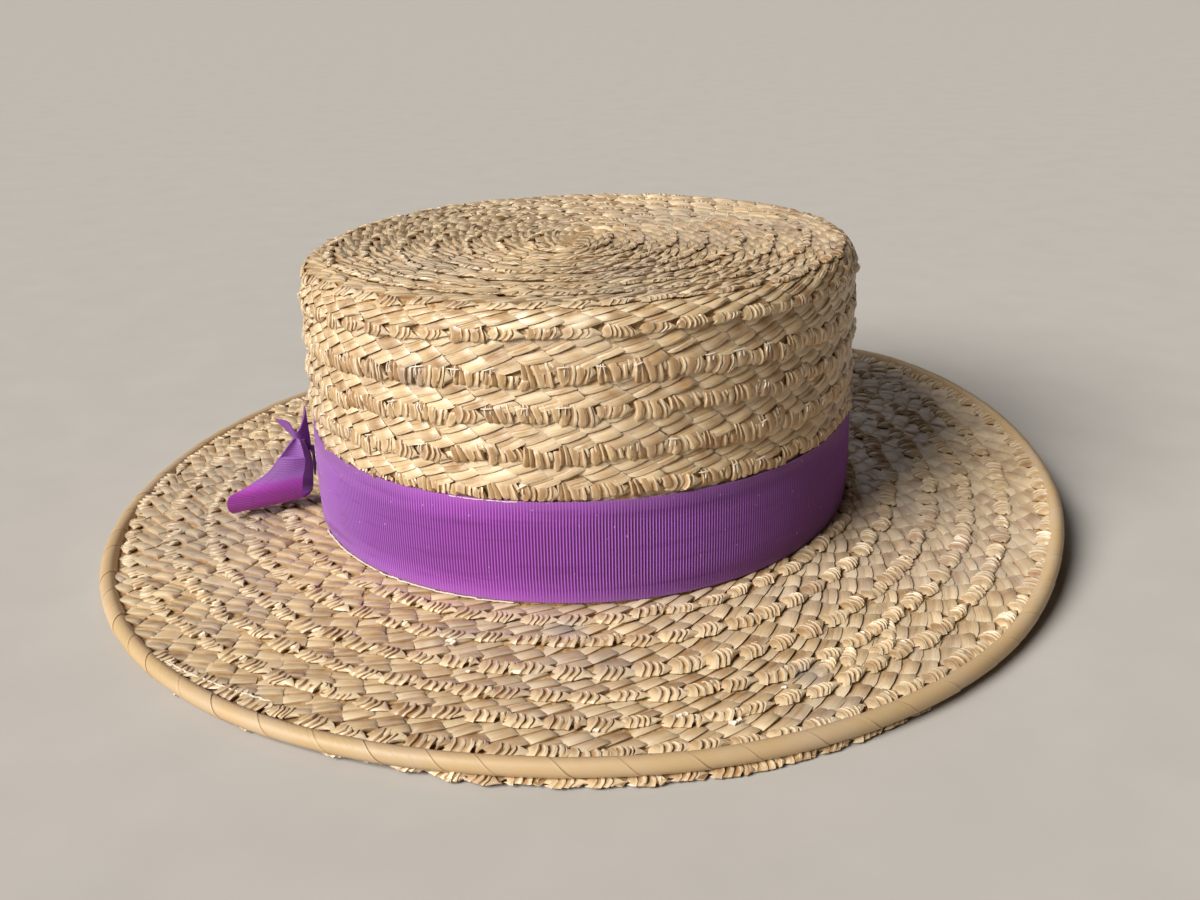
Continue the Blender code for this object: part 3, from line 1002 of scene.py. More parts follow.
def ribbon_material(name, ribbon):
    """Grosgrain: ribs across the ribbon with painted shade between them, worn and dusty places with painted
    sheen, painted light and shade round the band, painted shade in its folds and creases, and a soft sheen.
    """
    finish = Finish(name)
    grain = finish.attribute("grain")
    along = finish.parts(grain)[0]
    dust, bright, dark = finish.parts(finish.attribute("look"))
    # Painted shade between the ribs, made fainter where the look is dusty, lit or shaded.
    wave = finish.calculate("SINE", finish.calculate("MULTIPLY", along, 2 * math.pi))
    faint = finish.calculate("MULTIPLY_ADD", dust, 0.75, finish.calculate("MULTIPLY", bright, 0.4))
    faint = finish.calculate("MULTIPLY_ADD", dark, 1.2, faint)
    rib = finish.calculate("MAXIMUM", finish.between(wave, -0.6, 0.95), faint)
    threads = finish.noise(finish.scaled(grain, (3.0, 7.0, 1.0)), 1.0, 2.0)
    # Painted light at the band's front, and the magenta of the bow's under fold.
    violet = finish.blended(bright, ribbon.violet, ribbon.magenta)
    spots = finish.noise(finish.place, 60.0, 4.0, 0.6)
    # Worn spots, and dust with painted sheen, fade the ribbon to lilac.
    worn = finish.calculate("MULTIPLY", finish.between(spots, 0.45, 0.75), 0.22)
    worn = finish.calculate("MAXIMUM", worn, finish.calculate("MULTIPLY", dust, spots))
    violet = finish.blended(worn, violet, ribbon.lilac)
    colour = finish.blended(rib, ribbon.plum, violet)
    # Painted shade in streaks, as creases, strongest where dusty.
    streaks = finish.noise(finish.scaled(grain, (0.03, 0.42, 1.0)), 1.0, 2.0)
    crease = finish.calculate("MULTIPLY", finish.between(streaks, 0.56, 0.66), 0.35)
    creased = finish.calculate("MULTIPLY", crease, finish.calculate("MAXIMUM", dust, 0.45))
    colour = finish.blended(creased, colour, ribbon.plum)
    colour = finish.blended(finish.calculate("MULTIPLY", threads, 0.25), colour, ribbon.plum)
    # Painted shade in the folds and on the band's right.
    colour = finish.blended(dark, colour, ribbon.plum)
    specks = finish.between(finish.noise(finish.place, 1300.0, 0.0), 0.84, 0.88, 0.0, 0.5)
    colour = finish.blended(specks, colour, ribbon.lint)
    finish.bumped(threads, 0.06 * MM, 0.7)
    return finish.done(colour, {
        "Roughness": 0.62, "Specular IOR Level": 0.35, "Sheen Weight": 0.25, "Sheen Roughness": 0.45,
        "Sheen Tint": (0.85, 0.60, 0.95, 1.0),
    })


def binding_material(name, straw):
    """A smooth strip of straw with fine lines along the slant of its laps, dark seams and painted highlights
    along the laps' raised edges.
    """
    finish = Finish(name)
    grain = finish.attribute("grain")
    tint, pale, dark = finish.parts(finish.attribute("look"))
    lines = finish.noise(finish.scaled(grain, (0.10, 2.6, 1.0)), 1.0, 3.0, 0.65)
    patches = finish.noise(finish.place, 60.0, 3.0)
    olive = [straw.tan[0] * 0.86, straw.tan[1] * 0.9, straw.tan[2] * 0.82, 1.0]
    shade = finish.calculate("MULTIPLY_ADD", patches, 0.5, finish.calculate("MULTIPLY", lines, 0.7))
    shade = finish.calculate("MULTIPLY_ADD", tint, 0.5, shade)
    colour = finish.blended(finish.between(shade, 0.55, 0.85), olive, straw.tan)
    colour = finish.blended(finish.between(shade, 0.90, 1.35, 0.0, 0.6), colour, straw.pale)
    colour = finish.blended(finish.between(patches, 0.45, 0.70, 0.05, 0.30), colour, straw.dust)
    # Cream: painted highlight along each lap's raised edge.
    colour = finish.blended(pale, colour, straw.cream)
    colour = finish.blended(dark, colour, straw.brown)
    finish.bumped(lines, 0.14 * MM, 0.9)
    return finish.done(colour, {"Roughness": 0.46})


def plain_material(name, colour, rough=0.7, speckle=300.0):
    """One colour with a little variation and a fine grain."""
    finish = Finish(name)
    grain = finish.noise(finish.place, speckle, 3.0)
    darker = [channel * 0.88 for channel in colour[:3]] + [1.0]
    finish.bumped(grain, 0.05 * MM, 0.5)
    return finish.done(finish.blended(grain, darker, colour), {"Roughness": rough})


# Pieces


SHELL_COLUMNS = 128


def grow_shell(name, section, closed):
    """A ring of the head oval, extruded and resized through a section of (out, height) points."""
    deselect_everything()
    bpy.ops.mesh.primitive_circle_add(vertices=SHELL_COLUMNS, radius=1.0, fill_type="NOTHING")
    shell = bpy.context.object
    shell.name = shell.data.name = name
    out, height = section[0]
    for vertex in shell.data.vertices:
        angle = math.atan2(vertex.co.y, vertex.co.x)
        x, y = oval_place(angle, out)
        vertex.co = (x, y, height)
    bpy.ops.object.mode_set(mode="EDIT")
    bpy.ops.mesh.select_mode(type="EDGE")
    bpy.ops.mesh.select_all(action="SELECT")
    for (out, height), (next_out, next_height) in zip(section, section[1:]):
        bpy.ops.mesh.extrude_region_move(TRANSFORM_OT_translate={"value": (0, 0, next_height - height)})
        wider = (HEAD_HALF_WIDTH + next_out) / (HEAD_HALF_WIDTH + out)
        longer = (HEAD_HALF_LENGTH + next_out) / (HEAD_HALF_LENGTH + out)
        bpy.ops.transform.resize(value=(wider, longer, 1), center_override=(0, 0, next_height))
    select_open_edges()
    if closed:
        bpy.ops.mesh.bridge_edge_loops()
    else:
        bpy.ops.mesh.edge_face_add()
    turn_faces_out()
    bpy.ops.object.shade_smooth_by_angle(angle=SHELL_CRISP)
    return shell


def stacked_rings(name, columns, levels):
    """A ring of points extruded up level by level, one millimetre apart, ready to be shaped."""
    deselect_everything()
    bpy.ops.mesh.primitive_circle_add(vertices=columns, radius=1.0, fill_type="NOTHING")
    piece = bpy.context.object
    piece.name = piece.data.name = name
    bpy.ops.object.mode_set(mode="EDIT")
    bpy.ops.mesh.select_all(action="SELECT")
    for _ in range(levels - 1):
        bpy.ops.mesh.extrude_region_move(TRANSFORM_OT_translate={"value": (0, 0, MM)})
    bpy.ops.object.mode_set(mode="OBJECT")
    return piece


def ring_and_level(piece, columns):
    """For each point of stacked rings, its place round the ring and the level that it is on."""
    x, y, z = read_points(piece).T
    turn = np.arctan2(y, x) / (2 * math.pi) * columns
    return np.round(turn) % columns, np.round(z / MM)


# Clear length at each end of a braid, and how unevenly its straws begin as a share of their length
END_CLEAR = 12 * MM
START_SPREAD = 0.025


def straw_places(braid, length, rng):
    """Where the straws begin along a braid, a straw's length apart with a little unevenness."""
    count = int((braid.length - 4 * length) / length)
    along = 2 * length + np.arange(count) * length
    return along + rng.normal(0, START_SPREAD * length, count)


def kept(braid, along, up, low, high):
    """The places that lie between two distances across the surface and clear of the braid's ends."""
    across = braid.across(along, up)
    inside = (across > low) & (across < high)
    return along[inside & (along > END_CLEAR) & (along < braid.length - END_CLEAR)]


# How far a straw runs right and up, and the shift from one tier to the next, in millimetres
CROWN_STRAW = (6.7, 2.08, 2.9)
BRIM_STRAW = (6.2, 3.15, 2.9)
# Tiers of straws, as shares of the row up from its pleats
CROWN_TIERS = (0.25, 0.46, 0.67, 0.87)
BRIM_TIERS = (0.27, 0.57, 0.87)
REVERSE_TIERS = (0.14, 0.36, 0.58, 0.80)
# From here up a straw lies mostly below the row before it
HIDDEN_TIER = 0.8
CREASE_DEPTH = 0.32
TINT_SPREAD = 0.17
# Where painted shade darkens the braid most, and where it is fullest: degrees from +X, and how far that
# reaches
SHADED_SIDE, SHADE_REACH, PAINTED_SHADE = 345.0, 38.0, 0.14
FULL_SIDE, FULL_REACH = 202.0, 32.0
# Shares along and across a straw at which its points lie
STRAW_COLUMNS = (0.0, 0.10, 0.32, 0.66, 0.92, 1.0)
STRAW_ROWS = (0.0, 0.33, 0.80, 1.0)
CREASED_ROWS = (0.0, 0.36, 0.50, 0.62, 1.0)
HIDDEN_COLUMNS = (0.0, 0.32, 0.92, 1.0)
HIDDEN_ROWS = (0.0, 0.6, 1.0)


def painted_shade_and_fullness(braid, along):
    """How much painted shade darkens the straws towards the right, and how much fuller they are at the left.
    """
    degrees = braid.degrees(along)
    from_right = (degrees - SHADED_SIDE + 180.0) % 360 - 180.0
    return PAINTED_SHADE * bell(from_right, 0.0, SHADE_REACH), bell(degrees, FULL_SIDE, FULL_REACH)


def scattered(rng, count, spreads):
    """How unevenly the copies of a unit lie: random values from a table, drawn in its order."""
    return {name: rng.normal(middle, spread, count) for name, (middle, spread) in spreads.items()}


# Middle and spread of each measure, for each kind of unit, in the order in which they are drawn
PLAIT_SPREAD = {
    "along": (0, 0.15 * MM), "up": (0, 0.010), "turn": (0, 0.050),
    "wide": (1.0, 0.05), "tall": (1.05, 0.07), "proud": (1.08, 0.24),
}
KNOT_SPREAD = {
    "along": (0, 0.25 * MM), "up": (0, 0.014), "turn": (0, 0.10),
    "wide": (1.07, 0.06), "tall": (1.0, 0.10), "proud": (1.0, 0.18),
}
CROWD_SPREAD = {"up": (0, 0.05), "turn": (0.1, 0.25), "wide": (1.0, 0.1)}
STITCH_SPREAD = {"along": (0, 0.2 * MM), "up": (0, 0.012), "turn": (0, 0.15), "wide": (1.0, 0.25)}
REVERSE_SPREAD = {
    "along": (0, 0.25 * MM), "up": (0, 0.01), "turn": (0, 0.04), "tall": (1.05, 0.05), "proud": (1.0, 0.2),
}


def lay_plait(heap, braid, starts, length, straw, tiers, low, high, rng, fuller=0.0):
    """The flat straws of each tier, shifted to the left from one tier to the one above."""
    right, _, shift = straw
    smooth = model_straw(straw, STRAW_COLUMNS, STRAW_ROWS)
    creased = model_straw(straw, STRAW_COLUMNS, CREASED_ROWS, CREASE_DEPTH)
    hidden = model_straw(straw, HIDDEN_COLUMNS, HIDDEN_ROWS)
    units = (smooth, smooth, creased)
    stretch = length / ((right + shift) * MM)
    for tier, height in enumerate(tiers):
        along = kept(braid, starts + tier * shift * MM, height, low, high)
        kind = rng.integers(0, len(units), len(along))
        for index, unit in enumerate([hidden] * len(units) if height > HIDDEN_TIER else units):
            places = along[kind == index]
            darker, left = painted_shade_and_fullness(braid, places)
            drawn = scattered(rng, len(places), PLAIT_SPREAD)
            points = lay(
                braid, unit, places + drawn["along"], height + drawn["up"], turn=drawn["turn"],
                wide=stretch * drawn["wide"], tall=drawn["tall"], proud=drawn["proud"] * (1 + fuller * left))
            # Each straw's tint is lowered towards the right as painted shade.
            heap.add(unit, points, rng.normal(0.5, TINT_SPREAD, len(places)) - darker)


# Groups of folds at the pleated edge, each made of creases from left to right
CROWN_KNOTS = {
    # kind, width above and width below in millimetres, then the sideways bow of them all
    "stitched": (
        (("pleat", 1.1, 1.7), ("pleat", 1.1, 1.7), ("petal", 2.4, 2.0),
         ("fold", 1.4, 1.4), ("stub", 1.3, 0.7), ("petal", 2.5, 2.1)), 0.15),
    "shell": (
        (("wing", 2.2, 1.9), ("fold", 1.2, 1.3), ("fold", 1.2, 1.4),
         ("fold", 1.3, 1.4), ("fold", 1.3, 1.2), ("point", 2.3, 2.0)), 0.35),
    "round": (
        (("petal", 2.7, 2.4), ("fold", 1.5, 1.7), ("petal", 2.5, 2.3),
         ("fold", 1.2, 1.2), ("point", 1.9, 1.7)), 0.3),
    "nested": (
        (("wing", 3.0, 2.7), ("fold", 1.6, 1.7), ("fold", 1.6, 1.6), ("point", 3.2, 3.0)), 0.6),
}
BRIM_KNOTS = {
    "nested": (
        (("wing", 2.9, 2.6), ("fold", 1.5, 1.6), ("fold", 1.5, 1.5), ("point", 3.1, 2.9)), 0.6),
    "ribbed": (
        (("wing", 1.9, 1.7), ("fold", 1.2, 1.3), ("fold", 1.2, 1.2),
         ("fold", 1.2, 1.1), ("point", 2.9, 2.6)), 0.5),
    "lobed": (
        (("wing", 2.4, 2.2), ("fold", 2.0, 2.1), ("fold", 2.0, 2.0),
         ("stub", 1.4, 1.2), ("point", 1.8, 1.4)), 0.4),
}
TORN_KNOT = (("wing", 2.4, 1.6), ("fold", 1.6, 1.2), ("point", 3.2, 2.4)), 0.5
MIDDLE_KNOT = (("petal", 3.4, 3.2), ("petal", 3.4, 3.0)), 0.2
# How a group lies on the braid: shift along it, most turn, size up and off it, and its roughness
KNOT_SHIFT, MOST_TURN, KNOT_TALL, KNOT_PROUD = 0.7 * MM, 0.17, 1.10, 0.85
KNOT_OFF, KNOT_ROUGH = 0.15 * MM, 0.06 * MM
# Versions of each kind of group
VARIANTS = 4
# How much of each kind there is, in the order of its chart, and their size
CROWN_MIX = (
    (0.0, 0.10, 0.10, 0.80, 0.66),  # the tip
    (0.0, 0.50, 0.10, 0.45, 1.02),  # the crown's edge at the front
    (0.0, 0.20, 0.28, 0.45, 1.02),  # the crown's edge at the back
    (0.66, 0.03, 0.28, 0.04, 1.03),  # the side at the front
    (0.50, 0.03, 0.28, 0.04, 1.03),  # the side at the back
)
BRIM_MIX = (
    (0.45, 0.50, 0.30, 1.0),  # the right
    (0.45, 0.08, 0.60, 0.90),  # the left
    (0.45, 0.08, 0.30, 1.0),  # elsewhere
)
UNDER_MIX = ((0.55, 0.0, 0.45, 0.80),)
# Turns of the braid up to which its pleats are on the tip, and then on the crown's edge
TIP_TURNS, CROWN_EDGE_TURNS = 8.6, 9.3
# Degrees from and to
CROWN_FRONT = (262.0, 60.0)
BRIM_RIGHT = (298.0, 352.0)
BRIM_LEFT = (178.0, 238.0)


def crown_part(turns, degrees):
    """Which line of the crown's mix each place has."""
    tip, edge = turns < TIP_TURNS, turns < CROWN_EDGE_TURNS
    front = (degrees > CROWN_FRONT[0]) | (degrees < CROWN_FRONT[1])
    return np.select([tip, edge & front, edge, front], [0, 1, 2, 3], 4)


def brim_part(_, degrees):
    """Which line of the brim's mix each place has."""
    right, left = ((degrees > first) & (degrees < last) for first, last in (BRIM_RIGHT, BRIM_LEFT))
    return np.select([right, left], [0, 1], 2)


def under_part(turns, _):
    """The row under the edge has the same mix all round."""
    return np.zeros(len(turns), int)


def lay_knots(heap, braid, starts, stretch, chart, mix, part, low, high, rng):
    """The pleated edge of the braid: one group of folds for each straw's length."""
    along = kept(braid, starts, 0.0, low, high)
    *share_of_kind, size = np.array(mix)[part(braid.turn_at(along), braid.degrees(along))].T
    pick = rng.random(len(along))
    edges = np.cumsum(share_of_kind, axis=0) / np.sum(share_of_kind, axis=0)
    kind = (pick[None] > edges).sum(0)
    variant = rng.integers(0, VARIANTS, len(along))
    for index, (folds, bow) in enumerate(chart.values()):
        for version in range(VARIANTS):
            unit = model_knot(folds, bow, rng)
            chosen = (kind == index) & (variant == version)
            places, scale = along[chosen], size[chosen]
            drawn = scattered(rng, len(places), KNOT_SPREAD)
            points = lay(
                braid, unit, places + KNOT_SHIFT + drawn["along"], drawn["up"],
                turn=np.clip(drawn["turn"], -MOST_TURN, MOST_TURN), wide=stretch * drawn["wide"],
                tall=KNOT_TALL * scale * drawn["tall"], proud=KNOT_PROUD * scale * drawn["proud"],
                off=KNOT_OFF)
            points = points + rng.normal(0, KNOT_ROUGH, points.shape)
            # Each group's tint is lowered towards the right as painted shade.
            heap.add(unit, points, rng.normal(0.42, TINT_SPREAD, len(places)) - painted_shade_and_fullness(braid, places)[0])


# A place where the pleats of two rows crowd together: degrees from and to, distance out from and to
CROWDED = (303.0, 318.0, 0.0430, 0.0520)
CROWDED_UP = 0.45


def crowd_knots(heap, braid, starts, stretch, rng):
    """More groups of folds between two rows, where they crowd together."""
    first, last, low, high = CROWDED
    places = kept(braid, starts + 4 * MM, CROWDED_UP, low, high)
    degrees = braid.degrees(places)
    places = places[(degrees > first) & (degrees < last)]
    unit = model_knot(*BRIM_KNOTS["nested"], rng)
    drawn = scattered(rng, len(places), CROWD_SPREAD)
    points = lay(
        braid, unit, places, CROWDED_UP + drawn["up"], turn=drawn["turn"], wide=stretch * drawn["wide"],
        off=0.3 * MM)
    heap.add(unit, points, rng.normal(0.6, 0.1, len(places)))


# The thread at a crossing, as a dash and two legs: right in millimetres, up, tilt, size
STITCHES = (
    (0.1, 0.215, 0.10, 1.0),
    (-0.35, 0.12, 1.50, 0.72),
    (0.75, 0.12, 1.62, 0.72),
)
STITCH_OFF = 1.32 * MM
STITCHES_SHOWN = 0.8
THREAD_TINT = 0.5


def lay_stitches(heap, braid, starts, low, high, share, rng):
    """The thread that sews one row to the next, seen as a dash and legs at each crossing."""
    unit = model_unit(3, 1, stitch, 0.1)
    sewn = starts[rng.random(len(starts)) < share]
    for right, up, tilt, size in STITCHES:
        along = kept(braid, sewn - right * MM, 0.0, low, high)
        along = along[rng.random(len(along)) < STITCHES_SHOWN]
        drawn = scattered(rng, len(along), STITCH_SPREAD)
        points = lay(
            braid, unit, along + drawn["along"], up + drawn["up"],
            turn=tilt + drawn["turn"], wide=size * drawn["wide"], off=STITCH_OFF)
        heap.add(unit, points, THREAD_TINT)


THREAD_ANGLES = 400
THREAD_STEP = 2.2 * MM
# Pale threads along the ribbon's edges: degrees from and to, out, height
LOOSE_THREADS = (
    (216.0, 268.0, 0.0036, 0.0112),
    (257.0, 270.0, 0.0030, 0.0398),
)


def lay_thread(heap, start, end, out, height, rng):
    """A thread that follows the head oval, made of short lengths."""
    unit = model_unit(3, 1, stitch, 0.1)
    circle = np.linspace(start, end, THREAD_ANGLES)
    x, y = oval_place(circle, out)
    lengths = summed(np.hypot(np.diff(x), np.diff(y)))
    for spot in np.arange(1.0 * MM, lengths[-1], THREAD_STEP):
        angle = np.interp(spot + unit.points[:, 0], lengths, circle)
        proud = out + unit.points[:, 2] + rng.normal(0, 0.06 * MM)
        x, y = oval_place(angle, proud)
        up = height + unit.points[:, 1] * 0.9 + rng.normal(0, 0.07 * MM)
        up = up + crown_lean(x, y, up)
        heap.add(unit, np.stack([x, y, up], -1)[None], THREAD_TINT)


def lay_reverse(heap, braid, starts, low, high, rng):
    """The plain straws of the braid's reverse."""
    unit = model_unit(2, 1, flat_straw, 0.2)
    for tier, height in enumerate(REVERSE_TIERS):
        along = kept(braid, starts + tier * REVERSE_STRAW[2] * MM, height, low, high)
        drawn = scattered(rng, len(along), REVERSE_SPREAD)
        points = lay(
            braid, unit, along + drawn["along"], height + drawn["up"],
            turn=drawn["turn"], tall=drawn["tall"], proud=drawn["proud"])
        heap.add(unit, points, rng.normal(0.45, 0.14, len(along)))


# The petals at the tip's middle: their steps back from the front, turn, height and flatness
MIDDLE_STEPS = np.linspace(-11.0, 9.0, 5) * MM
MIDDLE_TURN = (1.2, 0.25)
MIDDLE_OFF = 0.6 * MM
MIDDLE_PROUD = 0.55


def lay_middle(heap, rng):
    """The folded start of the braid, a short row of petals that closes the middle of the tip."""
    unit = model_knot(*MIDDLE_KNOT, rng)
    for step in MIDDLE_STEPS:
        x, y = turned(unit.points[:, 0] - 3.0 * MM, unit.points[:, 1], rng.normal(*MIDDLE_TURN))
        height = CROWN_LINE[0, 1] + MIDDLE_OFF + unit.points[:, 2] * MIDDLE_PROUD
        place = np.stack([x, step + 1.0 * MM + y, height], -1)
        place[:, 2] += crown_lean(*place.T)
        heap.add(unit, place[None], rng.normal(0.45, 0.1))


# Torn scraps of straw on the brim: degrees, out, turn, size
SCRAPS = (
    (261.8, 0.0240, 0.4, 0.9),
    (262.5, 0.0246, 1.3, 0.8),
    (266.4, 0.0356, 0.2, 0.6),
    (280.6, 0.0566, 0.1, 0.7),
    (288.8, 0.0536, 0.8, 0.8),
    (289.6, 0.0528, -0.5, 0.7),
    (293.6, 0.0586, 0.2, 0.9),
    (294.4, 0.0580, 1.1, 0.7),
    (301.0, 0.0500, 0.5, 0.6),
)
# Ends of the pale strand that has lifted beside the binding
STRAND = ((229.5, 0.0672), (248.5, 0.0612))
STRAND_LENGTHS = 34
STRAND_SIZE = 0.85
# A length of the strand lies level at these degrees, and its turn follows the brim from there
STRAND_LEVEL = 265.0
# Heights over the brim's bed: of the strand's ends, its middle above them, and the scraps
STRAND_LOW, STRAND_RISE, SCRAP_HEIGHT = 1.2 * MM, 0.4 * MM, 1.3 * MM


def scrap(along, down):
    """A curled flake."""
    x = (along - 0.5) * 2.0 + 0.3 * np.sin(5.0 * down)
    y = (0.5 - down) * 1.1 + 0.3 * np.sin(4.0 * along)
    return x, y, 0.2 + 0.5 * along * (1 - 0.6 * down) + 0.1 * np.sin(7.0 * along), 0.0, 0.0


def lay_at(heap, unit, degrees, out, turn, size, height):
    """One unit on the brim, turned as it lies there."""
    centre = brim_surface(np.radians(degrees), np.array(out))
    up = brim_normal(np.radians(degrees), out)
    east = np.cross((0.0, 1.0, 0.0), up)
    east /= np.linalg.norm(east)
    north = np.cross(up, east)
    points = unit.points * size
    x, y = turned(points[:, 0], points[:, 1], turn)
    placed = centre + x[:, None] * east + y[:, None] * north + (points[:, 2] + height)[:, None] * up
    heap.add(unit, placed[None], THREAD_TINT)


def brim_normal(angle, out):
    """Direction away from the brim's upper side."""
    centre, outward, onward = (
        brim_surface(np.array(angle + turn), np.array(out + shift))
        for turn, shift in ((0.0, 0.0), (0.0, 0.5 * MM), (0.01, 0.0)))
    up = np.cross(outward - centre, onward - centre)
    return up / np.linalg.norm(up) * np.sign(up[2])


def lay_scraps(heap, rng):
    """Torn flakes of straw, and a strand that has lifted off beside the binding."""
    flake = model_unit(3, 2, scrap, 0.1)
    for degrees, out, turn, size in SCRAPS:
        lay_at(heap, flake, degrees, out, turn, size, SCRAP_HEIGHT)
    length = model_unit(3, 1, stitch, 0.05)
    (first, first_out), (last, last_out) = STRAND
    for share in np.linspace(0, 1, STRAND_LENGTHS):
        degrees = first + (last - first) * share
        out = first_out + (last_out - first_out) * share + rng.normal(0, 0.1 * MM)
        lift = STRAND_LOW + STRAND_RISE * math.sin(math.pi * share)
        lay_at(heap, length, degrees, out, math.radians(degrees - STRAND_LEVEL), STRAND_SIZE, lift)


# One seed of random numbers for each piece of straw work
CROWN_SEED, BRIM_SEED, UNDER_EDGE_SEED, BINDING_SEED = 11, 12, 13, 14
# Lengths of braid for which the groups of folds are drawn
CROWN_KNOT_LENGTH, BRIM_KNOT_LENGTH = 9.6 * MM, 8.9 * MM
# How far the crown's braid goes down behind the ribbon, and how far in it then lies
BEHIND_RIBBON = 4.5 * MM
TUCK_OUT = 0.0020
# Height of the first stitches, and the share of the crossings that are sewn
STITCHES_TOP = 0.0800
STITCHES_SEWN = 0.55
REVERSE_RISE = 0.3 * MM
# How far the ground reaches over the bed of the straws
GROUND_OFF = 0.0002


def down_at(height):
    """How far down the crown's side a height lies."""
    return np.interp(-height, -CROWN_LINE[:, 1], CROWN_DOWN)


class BOATER_OT_crown(bpy.types.Operator):
    """Lay the crown's braid: its flat straws, pleated edges and stitches over their ground."""

    bl_idname = "boater.crown"
    bl_label = "Lay Crown"

    def execute(self, context):
        straw = context.scene.boater_straw
        rng = np.random.default_rng(CROWN_SEED)
        length = straw.straw_length
        braid = crown_braid(straw.row_rise)
        starts = straw_places(braid, length, rng)
        ribbon_top = BAND_BOTTOM + context.scene.boater_ribbon.width
        foot = down_at(ribbon_top - BEHIND_RIBBON)
        finish = straw_material("crown_straw", straw)
        plait = Heap()
        lay_plait(plait, braid, starts, length, CROWN_STRAW, CROWN_TIERS, 1 * MM, foot, rng)
        plait.move(lambda points: tucked(points, ribbon_top))
        plait.finish("crown_plait", "crown", finish)
        pleats = Heap()
        stretch = length / CROWN_KNOT_LENGTH
        lay_knots(pleats, braid, starts, stretch, CROWN_KNOTS, CROWN_MIX, crown_part, 5 * MM, foot, rng)
        lay_middle(pleats, rng)
        pleats.move(lambda points: tucked(points, ribbon_top))
        pleats.finish("crown_pleats", "crown", finish, FOLD_CRISP)
        stitches = Heap()
        lay_stitches(stitches, braid, starts, down_at(STITCHES_TOP), foot - 6.5 * MM, STITCHES_SEWN, rng)
        for start, end, out, height in LOOSE_THREADS:
            lay_thread(stitches, math.radians(start), math.radians(end), out, height, rng)
        stitches.finish("crown_stitches", "crown", plain_material("sewing_thread", straw.thread))
        reverse = Heap()
        inner = crown_braid(REVERSE_RISE, side=-1, wall=CROWN_WALL)
        lay_reverse(reverse, inner, straw_places(inner, length, rng), 1 * MM, CROWN_DOWN[-1] - 1 * MM, rng)
        reverse.finish("crown_reverse", "crown", straw_material("crown_inside", straw))
        bed = CROWN_BED[1:]
        section = [(out + GROUND_OFF, height + GROUND_OFF) for out, height in bed]
        section += [(bed[-1][0] - CROWN_WALL, bed[-1][1])]
        section += [(out - CROWN_WALL, height - CROWN_WALL) for out, height in reversed(bed)]
        ground = grow_shell("crown_ground", section, closed=False)
        points = read_points(ground)
        points[:, 2] += crown_lean(*points.T)
        write_points(ground, points)
        finish_piece(ground, "crown", ground_material("crown_gaps_shade", straw))
        return {"FINISHED"}


class BOATER_OT_brim(bpy.types.Operator):
    """Lay the brim's braid: its flat straws, pleated edges and torn scraps over their ground."""

    bl_idname = "boater.brim"
    bl_label = "Lay Brim"

    def execute(self, context):
        straw = context.scene.boater_straw
        rng = np.random.default_rng(BRIM_SEED)
        braid = brim_braid(straw.row_rise)
        length = straw.brim_straw_length
        starts = straw_places(braid, length, rng)
        low, high = BRIM_STRAW_REACH
        flat_finish = straw_material("brim_flat_straw", straw, 0.02, 0.42)
        finish = straw_material("brim_folded_straw", straw, 0.15)
        plait = Heap()
        lay_plait(plait, braid, starts, length, BRIM_STRAW, BRIM_TIERS, low, high, rng, fuller=0.45)
        plait.finish("brim_plait", "brim", flat_finish)
        pleats = Heap()
        stretch = length / BRIM_KNOT_LENGTH
        lay_knots(pleats, braid, starts, stretch, BRIM_KNOTS, BRIM_MIX, brim_part, low, high, rng)
        crowd_knots(pleats, braid, starts, stretch, rng)
        pleats.finish("brim_pleats", "brim", finish, FOLD_CRISP)
        scraps = Heap()
        lay_scraps(scraps, rng)
        scraps.finish("brim_scraps", "brim", plain_material("torn_straw", straw.thread))
        reverse = Heap()
        inner = brim_braid(REVERSE_RISE, side=-1, wall=BRIM_WALL)
        lay_reverse(reverse, inner, straw_places(inner, length, rng), low, high, rng)
        reverse.finish("brim_reverse", "brim", straw_material("brim_underside", straw))
        section = [(out, height + GROUND_OFF) for out, height in BRIM_LINE]
        section += [(out, height - BRIM_WALL) for out, height in BRIM_LINE[::-1]]
        ground = grow_shell("brim_ground", section, closed=True)
        spring_brim(ground)
        finish_piece(ground, "brim", ground_material("brim_gaps_shade", straw))
        return {"FINISHED"}


def oval_angle(points):
    """Angle on the head oval of points by it."""
    reach = OVAL_POWER / 2
    return np.arctan2(
        np.sign(points[:, 1]) * np.abs(points[:, 1] / HEAD_HALF_LENGTH) ** reach,
        np.sign(points[:, 0]) * np.abs(points[:, 0] / HEAD_HALF_WIDTH) ** reach,
    )


def tucked(points, top):
    """Whatever of the crown's braid comes down past the ribbon's upper edge lies behind it."""
    x, y = oval_place(oval_angle(points), TUCK_OUT)
    height = points[:, 2] - crown_lean(*points.T)
    reach = np.hypot(points[:, 0], points[:, 1])
    inward = np.minimum(np.hypot(x, y) / np.maximum(reach, MM), 1.0)
    shrink = np.where((height < top) & (height > 0), inward, 1.0)
    return points * np.stack([shrink, shrink, np.ones(len(shrink))], -1)


def spring_brim(piece):
    """A level ring is lifted as the brim is."""
    points = read_points(piece)
    angle = oval_angle(points)
    x, y = oval_place(angle, 0.0)
    out = np.hypot(points[:, 0], points[:, 1]) - np.hypot(x, y)
    points[:, 2] += brim_lift(angle, out)
    write_points(piece, points)


# Bed of the row of braid that is turned under the brim's edge
UNDER_BED = (
    # out, height
    (0.0560, 0.0034),
    (0.0640, 0.0022),
    (0.0680, 0.0010),
    (0.0712, 0.0003),
)
